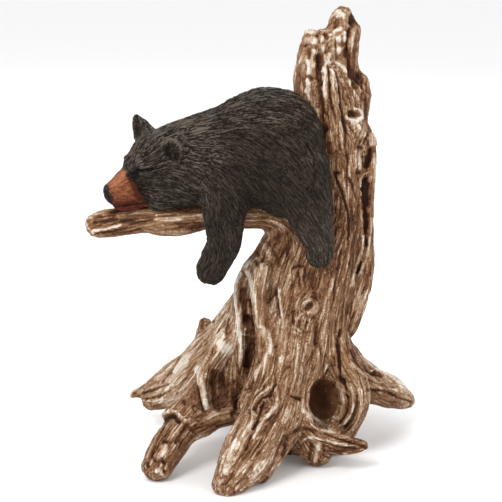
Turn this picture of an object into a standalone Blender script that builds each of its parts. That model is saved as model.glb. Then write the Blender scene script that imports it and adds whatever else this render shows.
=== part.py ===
"""Black bear asleep along the branch of a driftwood stump: a painted resin shelf figurine."""

import math

import bmesh
import bpy
import numpy as np
from mathutils import Matrix, Vector, noise

# Driving dimensions, in metres.
FIGURE_HEIGHT = 0.250  # from the table to the top of the tallest snag
CONTACT_GAP = 0.0004  # painted seam between the bear and the wood

# The two sculptures are drawn in units of one 250th of the figurine's height,
# which is a millimetre on the figurine at its real size.
DRAWN_HEIGHT = 250.0
UNIT = FIGURE_HEIGHT / DRAWN_HEIGHT

# How finely the clay is fused and smoothed, and how many faces each casting keeps.
WOOD_VOXEL = 1.6
BEAR_VOXEL = 1.1
WOOD_SMOOTH_STEPS = 3
BEAR_SMOOTH_STEPS = 7
WOOD_TRIANGLES = 6100
BEAR_TRIANGLES = 2900
LIMB_SIDES = 4  # bevel resolution of a limb
LIMB_STEPS = 8  # stations between two rows of a limb

# Limbs of the driftwood. Each row is x, y, z and radius; -Y is the front.
WOOD_LIMBS = {
    "trunk": ((2, 10, -6, 25), (1, 8, 27, 26), (3, 3, 69, 27), (10, 2, 104, 25), (22, 4, 138, 19),
              (21, 4, 172, 18), (20, 4, 199, 16), (19, 4, 213, 12)),
    "left_snag": ((14, 2, 174, 11.6), (8, 1, 197, 9.5), (7.5, 0, 211, 9.2), (8.6, 0, 225, 8.3),
                  (10.8, 0, 238, 6.6)),
    "tall_snag": ((24, 6, 177, 12), (25, 6, 199, 10), (25, 6, 221, 8.7), (24.6, 6, 235, 10.2),
                  (24.8, 6, 243.5, 7)),
    "tall_flange": ((26, 8, 207, 3), (27, 9, 222, 3.8), (31.5, 9, 234, 4), (32.5, 9, 239, 3.3)),
    "front_snag": ((21, -7, 174, 11), (19, -9, 196, 9), (17, -9, 211, 7.5), (17, -9, 216, 5)),
    "right_snag": ((30, 8, 165, 9.6), (32.4, 8, 188, 7.2), (34.6, 8, 202, 7), (34.2, 8, 209, 5.8)),
    "knot_stub": ((27, 0, 186, 8), (31, -6, 186, 5.5)),
    "edge_strand": ((36.5, 0, 189, 3), (40, 0, 176, 4.6), (39.4, 0, 150, 4.4), (39, 0, 128, 5),
                    (39, 0, 102, 5.5), (34.6, 0, 82, 5.5), (30.4, 0, 70, 5)),
    "branch": ((19, 2, 134, 17), (-3, -3, 137, 13), (-18, -5, 138, 8.5), (-33, -7, 138, 7.9),
               (-50, -8, 137, 7.5), (-60, -8, 135, 8.5), (-71, -9, 135, 9), (-82, -10, 136, 7.5),
               (-92, -10, 135, 8.2), (-102, -11, 134, 8.3), (-108.4, -11, 133, 7)),
    "branch_back": ((-6, 4, 139, 11), (-30, 0, 138, 7), (-60, -2, 136, 7), (-86, -4, 136, 6)),
    "shoulder": ((4, -2, 134, 12), (-8.5, -4, 122, 9.5), (-16, -5, 112, 8.6), (-23, -6, 103, 8.5),
                 (-26, -8, 94, 8), (-27, -9, 78, 8.5), (-27, -8, 60, 8.5), (-27, -8, 43, 8.5)),
    "left_ridge": ((-20, 2, 99, 8), (-28, 3, 86.5, 8.4), (-38.5, 6, 71, 7.6), (-52, 14, 54.5, 7),
                   (-62, 22, 43.5, 6), (-73, 29, 33.5, 5.6), (-85, 35, 21.5, 4.6), (-94.5, 38, 17, 2.8)),
    "left_web": ((-24, -3, 88, 9), (-29, -3, 73, 8.5), (-44, 3, 54, 8.5), (-59, 10, 38, 8),
                 (-70, 18, 25, 7.5), (-83, 28, 17, 6)),
    "left_toe": ((-32, -7, 74, 6), (-41, -9, 60, 6.5), (-51, -11, 43, 7), (-59, -13, 32, 7),
                 (-66, -17, 26, 6)),
    "finger": ((-37, -12, 73, 4.5), (-44, -16, 62, 4), (-50, -20, 52, 4), (-51, -23, 43, 3.6),
               (-49, -25, 34, 3)),
    "hollow_back": ((-30, -2, 76, 8), (-34, -1, 61, 8.5), (-36, -3, 44, 9), (-38, -8, 32, 8.5)),
    "hollow_side": ((-40, 0, 58, 8), (-46, -5, 42, 8), (-49, -11, 31, 8)),
    "collar": ((-50, -14, 37, 8), (-59, -21, 31, 8), (-66, -26, 28, 7.6)),
    "ledge": ((-61, -34, 26, 7), (-53, -30, 22, 6), (-44, -24, 25, 5.5), (-34, -18, 26, 6)),
    "back_peg": ((-54, 22, 51, 5), (-51.5, 24, 60, 5), (-50.5, 24, 69.5, 4.6)),
    "front_left_root": ((-59, -26, 26, 8), (-64.5, -35, 21, 9.5), (-71.3, -43, 13.8, 10),
                        (-75, -47.5, 7.6, 9.2)),
    "front_root": ((-4, 0, 66, 14), (-7, -16, 52, 14), (-10.5, -27, 40, 15.4), (-16.6, -40, 29, 14.6),
                   (-25.5, -51.5, 18, 14.6), (-32, -61, 10, 12.2), (-36.6, -65, 4.5, 9.4)),
    "front_root_knee": ((0, -10, 46, 13), (-3, -22, 36, 13.5), (-9, -36, 27, 13), (-15, -46, 17, 11),
                        (-20, -53, 8, 8.5)),
    "right_front_root": ((-6, -24, 38, 11), (4, -29, 30, 8), (15, -33, 21, 6.8), (25.5, -35, 14.5, 6.4),
                         (33.5, -36, 14.6, 5), (40.5, -36, 14.6, 3)),
    "right_stub": ((1, -24, 20, 9), (8, -28, 13, 9.4), (12.5, -29, 8.4, 8.8)),
    "hole_ring": ((14, 0, 84, 9), (20, -8, 66, 10), (28, -13, 52, 9.5), (33, -15, 42, 8.8), (33, -14, 32, 9),
                  (29.5, -12, 22, 9), (21, -8, 8, 11)),
    "right_root": ((22, 4, 66, 9), (28, 9, 52, 9), (41, 18, 33, 11), (55, 27, 23.5, 10.2),
                   (65, 35, 16, 7), (71.5, 40, 11, 3.2)),
    "white_strand": ((-18, -14, 113, 5.5), (-21, -18, 97, 5), (-20, -19, 80, 5), (-18, -20, 64, 5.5),
                     (-22, -24, 48, 5.5), (-27, -30, 36, 5.5)),
    "back_root": ((-2, 14, 60, 15), (-12, 28, 36, 13), (-22, 44, 18, 10), (-30, 58, 4, 7)),
    "back_right_root": ((8, 12, 70, 14), (16, 26, 40, 13), (22, 44, 18, 10), (26, 62, 3, 7)),
    "back_strand": ((12, 16, 150, 8), (6, 20, 110, 9), (2, 22, 70, 10)),
}
SQUARE_ENDED = ("trunk", "left_snag", "back_peg", "right_front_root", "right_root")
GRAIN_SPACING = 9.0  # width of one flute round a limb
FLUTE_DEPTH = 2.4
FLUTE_SHARE = 0.14  # the depth never passes this share of a limb's radius
FLUTE_LEVEL = 0.65  # share of the depth that lies below the limb's own skin
FLUTE_CREST = 0.7  # under one gives broad crests and narrow furrows
WANDER = 4.0  # radians that a flute strays round its limb
WANDER_PACE = 0.03  # how quickly it strays, per unit of length
BURROW = ((16.5, -25, 34), (10.5, 19, 13))  # middle and half widths of the den at the foot

# Knots of the front, each the middle and radius of a raised lip round a dished heart.
KNOTS = (
    ((32, -9, 186), 4.8),
    ((8, -24, 89), 4.2),
    ((-17, -50, 41), 4.5),
)
LIP = 1.7  # radius of a knot's lip
LIP_STEPS = 8
KNOT_STRETCH = 1.25  # height of a knot as a share of its width

# Deep cracks of the front, each a line of x and z with its half width and depth.
FRONT_CRACKS = (
    (((-28, 103), (-27, 86), (-25, 60), (-26, 46)), 2.6, 5.5),
    (((36, 172), (36, 140), (35, 104)), 1.8, 4.0),
    (((12, 222), (13, 198), (13, 182)), 1.8, 3.2),
    (((24, 214), (26, 200), (27, 190)), 1.6, 2.4),
    (((17, 78), (18, 60), (19, 47)), 1.5, 2.4),
    (((-2, 120), (2, 100), (2, 84)), 1.6, 1.8),
)

# The bear, in the same units. The torso is a spine of round stations, flattened across.
TORSO = ((-83, -5, 163, 15), (-77, -5, 163.5, 19.5), (-69, -7, 165, 22.6), (-57, -8, 167.2, 25),
         (-47, -8, 169, 26.6), (-37, -8, 170.4, 28.6), (-27, -8, 172.4, 31.8), (-17, -8, 174, 34.6),
         (-7, -8, 173, 34.4))
TORSO_BREADTH = 0.8  # its half width across as a share of its half height
RUMP = ((-6, -8, 171.5), (23.5, 27, 35))
HEAD_CENTRE = (-73, -4, 163)
HEAD_TURN = 30.0  # degrees towards the front
HEAD_DROP = 8.0  # degrees down onto the branch
HEAD_TILT = 8.0  # degrees of lean towards the near side
EAR_TURN = 35.0  # degrees that an ear's cup opens outwards

# Lumps of the head, each a place as forward, left and up from its centre, with three radii.
HEAD_MIDDLE = (
    ((0, 0, 2), (19, 18, 20.5)),
    ((9, 0, 2), (12, 13.5, 14)),
    ((17, 0, -4.5), (13, 10.5, 11.5)),
    ((25, 0, -6.6), (8.6, 8, 8.9)),
    ((30.4, 0, -6.2), (5.2, 6.2, 6.8)),
    ((33.8, 0, -5.2), (2.2, 4.4, 4)),
    ((17, 0, -15), (14, 7.5, 4)),
)
HEAD_SIDES = (
    ((2, 8, -8), (15, 11, 13)),
    ((15, 6, 6), (5, 5, 4.5)),
)
NEAR_EAR = ((1, 18.8, 15.8), (3.7, 7.5, 8))
EAR_CUP = ((4.5, 21.2, 16.2), (3.2, 5.2, 5.6))
FAR_EAR = (
    ((1, -14, 15), (6.6, 6.5, 6.5)),
    ((2.4, -16.4, 20), (5, 4.8, 5)),
    ((3.8, -18.2, 24.2), (2.8, 3, 3.6)),
)
LEGS = {
    "near_fore": ((-38, -18, 168, 16), (-38, -22, 150, 13.5), (-39, -25, 137, 10.8), (-38.6, -25, 128, 9.6),
                  (-42.4, -25, 119, 9), (-46, -25, 111.6, 8.4)),
    "far_fore": ((-38, 2, 165, 15), (-38, 8, 146, 12), (-37, 9, 132, 9.4), (-38, 9, 122, 8.8),
                 (-41, 9, 114, 8)),
    "near_hind": ((-2, -17, 166, 20), (5, -23, 152, 15), (8.5, -26, 138, 11.7), (11.4, -27, 130, 9.2),
                  (12.8, -27, 124, 7.8), (12.4, -27, 120.6, 7.4)),
    "far_hind": ((-6, 4, 166, 18), (-8, 12, 150, 14), (-8, 16, 136, 10), (-7, 17, 124, 8.5)),
}


def clear_scene():
    for thing in list(bpy.data.objects):
        bpy.data.objects.remove(thing, do_unlink=True)


def painted(name, colour, roughness):
    """A matt paint with one base colour."""
    paint = bpy.data.materials.new(name)
    paint.use_nodes = True
    shader = paint.node_tree.nodes["Principled BSDF"]
    shader.inputs["Base Color"].default_value = (*colour, 1.0)
    shader.inputs["Roughness"].default_value = roughness
    shader.inputs["Metallic"].default_value = 0.0
    return paint


def link(name, mesh, collection):
    thing = bpy.data.objects.new(name, mesh)
    collection.objects.link(thing)
    return thing


def settle(thing):
    """Swaps an object's mesh for what its modifiers make of it."""
    graph = bpy.context.evaluated_depsgraph_get()
    mesh = bpy.data.meshes.new_from_object(thing.evaluated_get(graph))
    thing.modifiers.clear()
    thing.data = mesh
    return thing


def limb(rows, clay):
    """A tapered round limb through the rows, cut square at both ends."""
    curve = bpy.data.curves.new("limb", "CURVE")
    curve.dimensions = "3D"
    curve.bevel_depth = UNIT
    curve.bevel_resolution = LIMB_SIDES
    curve.resolution_u = LIMB_STEPS
    curve.use_fill_caps = True
    spline = curve.splines.new("BEZIER")
    spline.bezier_points.add(len(rows) - 1)
    for point, (x, y, z, radius) in zip(spline.bezier_points, rows):
        point.co = Vector((x, y, z)) * UNIT
        point.radius = radius
        point.handle_left_type = point.handle_right_type = "AUTO"
    thing = link("limb", curve, clay)
    graph = bpy.context.evaluated_depsgraph_get()
    mesh = bpy.data.meshes.new_from_object(thing.evaluated_get(graph))
    bpy.data.objects.remove(thing)
    form = bmesh.new()
    form.from_mesh(mesh)
    bmesh.ops.remove_doubles(form, verts=form.verts, dist=0.01 * UNIT)
    form.to_mesh(mesh)
    form.free()
    return link("limb", mesh, clay)


def ball(centre, radii, clay, turn=Matrix.Identity(3)):
    """An ellipsoid, its radii along the axes of turn."""
    form = bmesh.new()
    bmesh.ops.create_uvsphere(form, u_segments=32, v_segments=20, radius=UNIT)
    place = Matrix.Translation(Vector(centre) * UNIT) @ turn.to_4x4() @ Matrix.Diagonal((*radii, 1.0))
    bmesh.ops.transform(form, matrix=place, verts=form.verts)
    mesh = bpy.data.meshes.new("ball")
    form.to_mesh(mesh)
    form.free()
    return link("ball", mesh, clay)


def ring(centre, radius, clay):
    """A knot's raised lip, facing the front."""
    x, y, z = centre
    rows = []
    for step in range(LIP_STEPS + 1):
        turn = math.tau * step / LIP_STEPS
        rows.append((x + radius * math.cos(turn), y, z + KNOT_STRETCH * radius * math.sin(turn), LIP))
    return limb(rows, clay)


def reskin(thing, voxel, rounds):
    """Gives a thing one even skin over all its lumps and smooths it."""
    skin = thing.modifiers.new("Fuse", "REMESH")
    skin.mode = "VOXEL"
    skin.voxel_size = voxel * UNIT
    smooth = thing.modifiers.new("Smooth", "SMOOTH")
    smooth.factor = 0.5
    smooth.iterations = rounds
    return settle(thing)


def gather(name, lumps, collection):
    """Puts overlapping lumps of clay into one object."""
    form = bmesh.new()
    for lump in lumps:
        form.from_mesh(lump.data)
        bpy.data.objects.remove(lump)
    mesh = bpy.data.meshes.new(name)
    form.to_mesh(mesh)
    form.free()
    return link(name, mesh, collection)


def points_of(mesh):
    """Vertex places in drawing units and vertex normals, as arrays."""
    co = np.empty(len(mesh.vertices) * 3)
    mesh.vertices.foreach_get("co", co)
    normal = np.empty(len(mesh.vertices) * 3)
    mesh.vertex_normals.foreach_get("vector", normal)
    return co.reshape(-1, 3) / UNIT, normal.reshape(-1, 3)


def move_points(mesh, co):
    mesh.vertices.foreach_set("co", (co * UNIT).ravel())
    mesh.update()


def distance_to_line(co, line):
    """Distance from each point to an open line of straight runs."""
    nearest = np.full(len(co), np.inf)
    for start, end in zip(line[:-1], line[1:]):
        a, b = np.array(start, float), np.array(end, float)
        share = np.clip((co - a) @ (b - a) / ((b - a) @ (b - a)), 0, 1)
        nearest = np.minimum(nearest, np.linalg.norm(co - a - share[:, None] * (b - a), axis=1))
    return nearest


SEAM_SIDE = (0.31, 0.95, 0.02)  # angles round a limb start from its back


def limb_frame(co, rows):
    """For each point, its depth in a limb as a share of the radius, and its angle round it."""
    rows = np.array(rows, float)
    share = np.full(len(co), np.inf)
    angle = np.zeros(len(co))
    side = None
    for start, end in zip(rows[:-1], rows[1:]):
        run = end[:3] - start[:3]
        length = np.linalg.norm(run)
        along = run / length
        if side is None:
            side = np.cross(along, SEAM_SIDE)
        side = side - (side @ along) * along
        side /= np.linalg.norm(side)
        other = np.cross(along, side)
        t = np.clip((co - start[:3]) @ along / length, 0, 1)
        out = co - start[:3] - t[:, None] * run
        here = np.linalg.norm(out, axis=1) / (start[3] + t * (end[3] - start[3]))
        closer = here < share
        share[closer] = here[closer]
        angle[closer] = np.arctan2(out @ other, out @ side)[closer]
    return share, angle


def carve_flutes(mesh):
    """Grooves that run along whichever limb each point belongs to."""
    co, normal = points_of(mesh)
    best = np.full(len(co), np.inf)
    depth = np.zeros(len(co))
    stray = np.array([noise.noise(Vector(point) * WANDER_PACE) for point in co]) * WANDER
    for rows in WOOD_LIMBS.values():
        share, angle = limb_frame(co, rows)
        radius = np.mean([row[3] for row in rows])
        flutes = max(3, round(2 * math.pi * radius / GRAIN_SPACING))
        crest = np.abs(np.sin(flutes / 2 * angle + stray)) ** FLUTE_CREST
        closer = share < best
        best[closer] = share[closer]
        depth[closer] = ((crest - FLUTE_LEVEL) * min(FLUTE_DEPTH, FLUTE_SHARE * radius))[closer]
    move_points(mesh, co + normal * depth[:, None])


def carve_cracks(mesh):
    """The deep splits of the front face."""
    co, normal = points_of(mesh)
    facing = np.clip(-normal[:, 1] * 2, 0, 1)
    for line, width, depth in FRONT_CRACKS:
        away = distance_to_line(co[:, [0, 2]], line)
        co = co - normal * (facing * depth * np.exp(-((away / width) ** 2)))[:, None]
    move_points(mesh, co)


def thin_out(thing, triangles):
    """Cuts the mesh down to about this many triangles."""
    thing.data.calc_loop_triangles()
    fewer = thing.modifiers.new("Thin", "DECIMATE")
    fewer.ratio = triangles / len(thing.data.loop_triangles)
    fewer.use_collapse_triangulate = True
    return settle(thing)


def subtract(thing, cutter):
    """Takes the cutter's volume out of the thing."""
    cut = thing.modifiers.new("Cut", "BOOLEAN")
    cut.operation = "DIFFERENCE"
    cut.solver = "EXACT"
    cut.object = cutter
    return settle(thing)


def keep_largest(mesh):
    """Deletes every loose scrap but the piece with the most faces."""
    form = bmesh.new()
    form.from_mesh(mesh)
    waiting, islands = set(form.faces), []
    while waiting:
        island, edge = set(), [waiting.pop()]
        while edge:
            face = edge.pop()
            island.add(face)
            near = {other for side in face.edges for other in side.link_faces} & waiting
            waiting -= near
            edge.extend(near)
        islands.append(island)
    islands.sort(key=len)
    scraps = [face for island in islands[:-1] for face in island]
    bmesh.ops.delete(form, geom=scraps, context="FACES")
    form.to_mesh(mesh)
    form.free()


def saw_flat(thing, clay):
    """Takes off all that is below the table's top."""
    form = bmesh.new()
    bmesh.ops.create_cube(form, size=2 * FIGURE_HEIGHT)
    bmesh.ops.translate(form, verts=form.verts, vec=(0, 0, -FIGURE_HEIGHT))
    mesh = bpy.data.meshes.new("table")
    form.to_mesh(mesh)
    form.free()
    table = link("table", mesh, clay)
    subtract(thing, table)
    bpy.data.objects.remove(table)


def sculpt_driftwood(collection, clay):
    lumps = []
    for name, rows in WOOD_LIMBS.items():
        lumps.append(limb(rows, clay))
        if name not in SQUARE_ENDED:
            *tip, radius = rows[-1]
            lumps.append(ball(tip, (radius,) * 3, clay))
    lumps += [ring(*knot, clay) for knot in KNOTS]
    wood = gather("driftwood", lumps, collection)
    reskin(wood, WOOD_VOXEL, WOOD_SMOOTH_STEPS)
    burrow = ball(*BURROW, clay)
    subtract(wood, burrow)
    bpy.data.objects.remove(burrow)
    carve_flutes(wood.data)
    carve_cracks(wood.data)
    reskin(wood, WOOD_VOXEL, 1)
    thin_out(wood, WOOD_TRIANGLES)
    saw_flat(wood, clay)
    keep_largest(wood.data)
    return wood


def head_lump(row, clay, lean=0.0, side=1):
    """One lump of the head, turned with it; side is -1 on the far side."""
    (forward, left, up), radii = row
    turn = (Matrix.Rotation(math.radians(HEAD_TURN), 3, "Z")
            @ Matrix.Rotation(math.radians(-HEAD_DROP), 3, "Y")
            @ Matrix.Rotation(math.radians(HEAD_TILT), 3, "X"))
    place = Vector(HEAD_CENTRE) + turn @ Vector((-forward, -left * side, up))
    return ball(place, radii, clay, turn @ Matrix.Rotation(math.radians(lean), 3, "Z"))


def head_lumps(clay):
    """Skull, cheeks, brows, muzzle, nose and ears."""
    lumps = [head_lump(row, clay) for row in HEAD_MIDDLE + FAR_EAR]
    for side in (1, -1):
        lumps += [head_lump(row, clay, side=side) for row in HEAD_SIDES]
    lumps.append(head_lump(NEAR_EAR, clay, EAR_TURN))
    return lumps


def sculpt_bear(collection, clay):
    torso = limb(TORSO, clay)
    flatten = Matrix.Diagonal((1, TORSO_BREADTH, 1, 1))
    middle = Matrix.Translation((0, TORSO[0][1] * UNIT, 0))
    torso.data.transform(middle @ flatten @ middle.inverted())
    lumps = [torso, ball(*RUMP, clay)]
    for rows in LEGS.values():
        lumps.append(limb(rows, clay))
        for *end, radius in (rows[0], rows[-1]):
            lumps.append(ball(end, (radius,) * 3, clay))
    lumps += head_lumps(clay)
    bear = gather("bear", lumps, collection)
    reskin(bear, BEAR_VOXEL, BEAR_SMOOTH_STEPS)
    cup = head_lump(EAR_CUP, clay, EAR_TURN)
    subtract(bear, cup)
    bpy.data.objects.remove(cup)
    return thin_out(bear, BEAR_TRIANGLES)


def seat_on(bear, wood, clay):
    """Hollows the bear to the wood it lies on, with the seam's gap left between them."""
    shell = link("shell", wood.data.copy(), clay)
    co, normal = points_of(shell.data)
    move_points(shell.data, co + normal * CONTACT_GAP / UNIT)
    subtract(bear, shell)
    bpy.data.objects.remove(shell)
    keep_largest(bear.data)


def stand_at_origin(things):
    """Moves the group so that the middle of its footprint is the origin."""
    corners = np.concatenate([points_of(thing.data)[0] for thing in things]) * UNIT
    middle = (corners.min(0) + corners.max(0)) / 2
    for thing in things:
        thing.location = (-middle[0], -middle[1], -corners[:, 2].min())


def main():
    clear_scene()
    figurine = bpy.data.collections.new("bear_figurine")
    clay = bpy.data.collections.new("clay")
    for collection in (figurine, clay):
        bpy.context.scene.collection.children.link(collection)
    wood = sculpt_driftwood(figurine, clay)
    bear = sculpt_bear(figurine, clay)
    seat_on(bear, wood, clay)
    wood.data.materials.clear()
    wood.data.materials.append(painted("driftwood_paint", (0.42, 0.30, 0.20), 0.6))
    bear.data.materials.clear()
    bear.data.materials.append(painted("bear_paint", (0.035, 0.030, 0.028), 0.55))
    for thing in (wood, bear):
        thing.data.shade_smooth()
    stand_at_origin((wood, bear))


main()
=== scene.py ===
# %% [markdown]
# # A black bear asleep on driftwood
#
# The real object is a shelf figurine: two castings in filled resin, a driftwood stump and a bear
# lying along its branch, painted by hand. The frame gives both castings at their true size, with
# their limbs, flutes, cracks and knots. What it lacks is what a sculptor does last with a fine
# tool, the strokes of the fur and the lines of the grain, and what the painter does after that.
#
# This notebook gives both castings that last surface. Each step says what is there on the real
# figurine, how it could be made, and why it is made this way.

# %% Load the castings
import itertools
import math

import bmesh
import bpy
import numpy as np
from mathutils import Matrix, Vector
from mathutils.bvhtree import BVHTree


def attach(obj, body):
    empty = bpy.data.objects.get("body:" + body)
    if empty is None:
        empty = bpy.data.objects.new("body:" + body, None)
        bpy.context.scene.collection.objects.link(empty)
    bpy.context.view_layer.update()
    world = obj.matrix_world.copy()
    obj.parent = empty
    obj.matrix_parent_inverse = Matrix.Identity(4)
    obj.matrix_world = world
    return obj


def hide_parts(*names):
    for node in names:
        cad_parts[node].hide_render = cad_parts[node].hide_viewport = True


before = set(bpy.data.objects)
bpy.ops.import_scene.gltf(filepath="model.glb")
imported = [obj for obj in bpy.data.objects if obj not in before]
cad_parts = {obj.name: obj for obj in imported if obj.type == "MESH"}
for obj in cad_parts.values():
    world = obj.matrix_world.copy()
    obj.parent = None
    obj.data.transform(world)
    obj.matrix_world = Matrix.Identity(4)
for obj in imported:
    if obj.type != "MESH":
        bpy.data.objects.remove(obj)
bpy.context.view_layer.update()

MM = 0.001

# %% [markdown]
# ## Where the photographer stood
#
# A product photo like this one is taken with a long lens from a little above, so that the branch
# runs level across the picture. A camera could be turned by hand until it looks right, but the
# elevation, distance and lens were worked out once, and the camera is simply aimed at one point
# of the stump from there.

# %% Camera
CAMERA_ELEVATION = math.radians(15)
CAMERA_DISTANCE = 950 * MM
LENS = 122.9
SENSOR = 36.0
STUMP_PLACE = Vector((21.24, 2.49, 0)) * MM  # the stump is drawn from its own foot, which stands here
AIM = Vector((-24.4, 0, 115.5)) * MM + STUMP_PLACE

scene = bpy.context.scene
camera = bpy.data.objects.new("camera", bpy.data.cameras.new("camera"))
scene.collection.objects.link(camera)
camera.data.lens = LENS
camera.data.sensor_width = SENSOR
back = Vector((0, -math.cos(CAMERA_ELEVATION), math.sin(CAMERA_ELEVATION)))
camera.location = AIM + back * CAMERA_DISTANCE
camera.rotation_euler = (-back).to_track_quat("-Z", "Y").to_euler()
scene.camera = camera
print("camera at", [round(c, 3) for c in camera.location])

# %% [markdown]
# ## Floor and studio light
#
# The figurine stands on white paper in a white room. A white sky alone would light it from all
# sides and leave it flat, and a single lamp would cut hard shadows. So the sky does most of the
# work, one wide lamp from the upper left gives the form, and a weak one fills from the right.

# %% Floor and light
FLOOR_SIZE = 6.0
PAPER = 0.9
SKY = 1.0


def plain_material(name, colour, roughness):
    material = bpy.data.materials.new(name)
    material.use_nodes = True
    shader = material.node_tree.nodes["Principled BSDF"]
    shader.inputs["Base Color"].default_value = (*colour, 1)
    shader.inputs["Roughness"].default_value = roughness
    return material


form = bmesh.new()
bmesh.ops.create_grid(form, x_segments=1, y_segments=1, size=FLOOR_SIZE / 2)
floor_mesh = bpy.data.meshes.new("paper_floor")
form.to_mesh(floor_mesh)
form.free()
floor = bpy.data.objects.new("paper_floor", floor_mesh)
scene.collection.objects.link(floor)
floor_mesh.materials.append(plain_material("white_paper", (PAPER,) * 3, 0.9))

LAMPS = {  # name: place, width in metres, watts
    "key": ((-0.5, -0.7, 1.0), 0.5, 9.0),
    "fill": ((0.85, -0.6, 0.5), 0.7, 2.5),
    "rim": ((0.2, 0.8, 0.8), 0.6, 2.5),
}
for name, (place, width, watts) in LAMPS.items():
    lamp = bpy.data.objects.new(name, bpy.data.lights.new(name, "AREA"))
    lamp.data.energy = watts
    lamp.data.size = width
    lamp.location = place
    lamp.rotation_euler = (AIM - Vector(place)).to_track_quat("-Z", "Y").to_euler()
    scene.collection.objects.link(lamp)

sky = bpy.data.worlds.new("studio")
sky.use_nodes = True
sky.node_tree.nodes["Background"].inputs["Color"].default_value = (1, 1, 1, 1)
sky.node_tree.nodes["Background"].inputs["Strength"].default_value = SKY
scene.world = sky
scene.view_settings.view_transform = "Standard"
print("lamps:", list(LAMPS))

# %% [markdown]
# ## One even skin for each casting
#
# The castings come as a few thousand facets, fine for weighing and for contact but too coarse to
# carve. A sculptor in Blender would remesh them to an even net of small quads. That is done here
# too: the loose triangles are merged, a voxel Remesh gives the net, and a Smooth rounds off the
# facets.
#
# A net fine enough for the fur all round would have far too many faces. The face that a buyer
# looks at, the front, holds the most work on the real casting as well, so only the faces that are
# seen from there are cut into four.

# %% Skin
WOOD_QUAD = 1.64 * MM
COAT_QUAD = 0.98 * MM
WOOD_SMOOTHING = 4  # rounds
COAT_SMOOTHING = 6
GRAZING = 0.08  # a face turned away further than this from the front is left coarse
RAY_START = 2 * MM  # out from the surface, so that a face doesn't hide itself


def faces_in_front(form):
    """The faces that the photographer sees, with one row round them."""
    tree = BVHTree.FromBMesh(form)
    seen = set()
    for face in form.faces:
        middle = face.calc_center_median()
        ray = (camera.location - middle).normalized()
        if face.normal.dot(ray) < GRAZING:
            continue
        if tree.ray_cast(middle + ray * RAY_START, ray)[0] is None:
            seen.add(face)
    rim = {other for face in seen for vert in face.verts for other in vert.link_faces}
    return seen | rim


def skin_of(node, name, quad, rounds):
    """A smooth, even copy of a casting, twice as fine in front."""
    form = bmesh.new()
    form.from_mesh(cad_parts[node].data)
    bmesh.ops.remove_doubles(form, verts=form.verts, dist=0.001 * MM)
    mesh = bpy.data.meshes.new(name)
    form.to_mesh(mesh)
    form.free()
    piece = bpy.data.objects.new(name, mesh)
    scene.collection.objects.link(piece)
    net = piece.modifiers.new("Net", "REMESH")
    net.mode = "VOXEL"
    net.voxel_size = quad
    rounding = piece.modifiers.new("Rounding", "SMOOTH")
    rounding.factor = 0.5
    rounding.iterations = rounds
    graph = bpy.context.evaluated_depsgraph_get()
    form = bmesh.new()
    form.from_mesh(bpy.data.meshes.new_from_object(piece.evaluated_get(graph)))
    piece.modifiers.clear()
    front = faces_in_front(form)
    edges = list({edge for face in front for edge in face.edges})
    bmesh.ops.subdivide_edges(form, edges=edges, cuts=1, use_grid_fill=True, smooth=0.4)
    bmesh.ops.triangulate(form, faces=[face for face in form.faces if len(face.verts) > 4])
    form.to_mesh(piece.data)
    form.free()
    piece.data.calc_loop_triangles()
    print(name, "has", len(piece.data.vertices), "points and", len(piece.data.loop_triangles), "triangles")
    return piece


wood = skin_of("driftwood", "carved_driftwood", WOOD_QUAD, WOOD_SMOOTHING)
bear = skin_of("bear", "tooled_bear", COAT_QUAD, COAT_SMOOTHING)

# %% [markdown]
# ## A way to comb noise
#
# Grain and fur have one thing in common: they are noise that has been drawn out along a
# direction. A stretched noise texture gives that along one straight axis only, and here the
# direction bends with every root and over every muscle. So the noise is sampled many times along
# the path that leads through each point, and averaged. Across the path it still changes quickly,
# along it hardly at all.
#
# First, a smooth noise that numpy works out for all points at once.

# %% Noise
HASHES = np.array((0x9E3779B1, 0x85EBCA77, 0xC2B2AE3D), np.uint32)


def speckle(points, seed):
    """Smooth noise between -1 and 1, one cell to a unit."""
    cell = np.floor(points).astype(np.int64)
    part = points - cell
    part = part * part * (3 - 2 * part)
    total = np.zeros(len(points))
    for corner in itertools.product((0, 1), repeat=3):
        mixed = ((cell + corner).astype(np.uint32) * HASHES).sum(axis=1, dtype=np.uint32)
        mixed = mixed + np.uint32(seed * 7919)
        mixed = (mixed ^ (mixed >> np.uint32(15))) * np.uint32(0x2C1B3C6D)
        mixed = (mixed ^ (mixed >> np.uint32(12))) * np.uint32(0x297A2D39)
        mixed = mixed ^ (mixed >> np.uint32(15))
        weight = np.prod(np.where(corner, part, 1 - part), axis=1)
        total += weight * (mixed / 2.0**31 - 1)
    return total


trial = speckle(np.random.default_rng(1).uniform(-50, 50, (2000, 3)), 3)
print("noise runs from", trial.min().round(2), "to", trial.max().round(2))

# %% [markdown]
# Then a map of directions. A few guide lines are drawn through the form, as arrows on a plan, and
# a coarse grid of small cubes holds the direction in between. A guide counts most near itself,
# measured in its own radius, so a thin root keeps its own grain beside a thick trunk.

# %% Direction maps
GRID_STEP = 3.0  # in millimetres, as all lengths from here to the paint


def unit(vectors):
    return vectors / np.maximum(np.linalg.norm(vectors, axis=1, keepdims=True), 1e-9)


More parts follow.
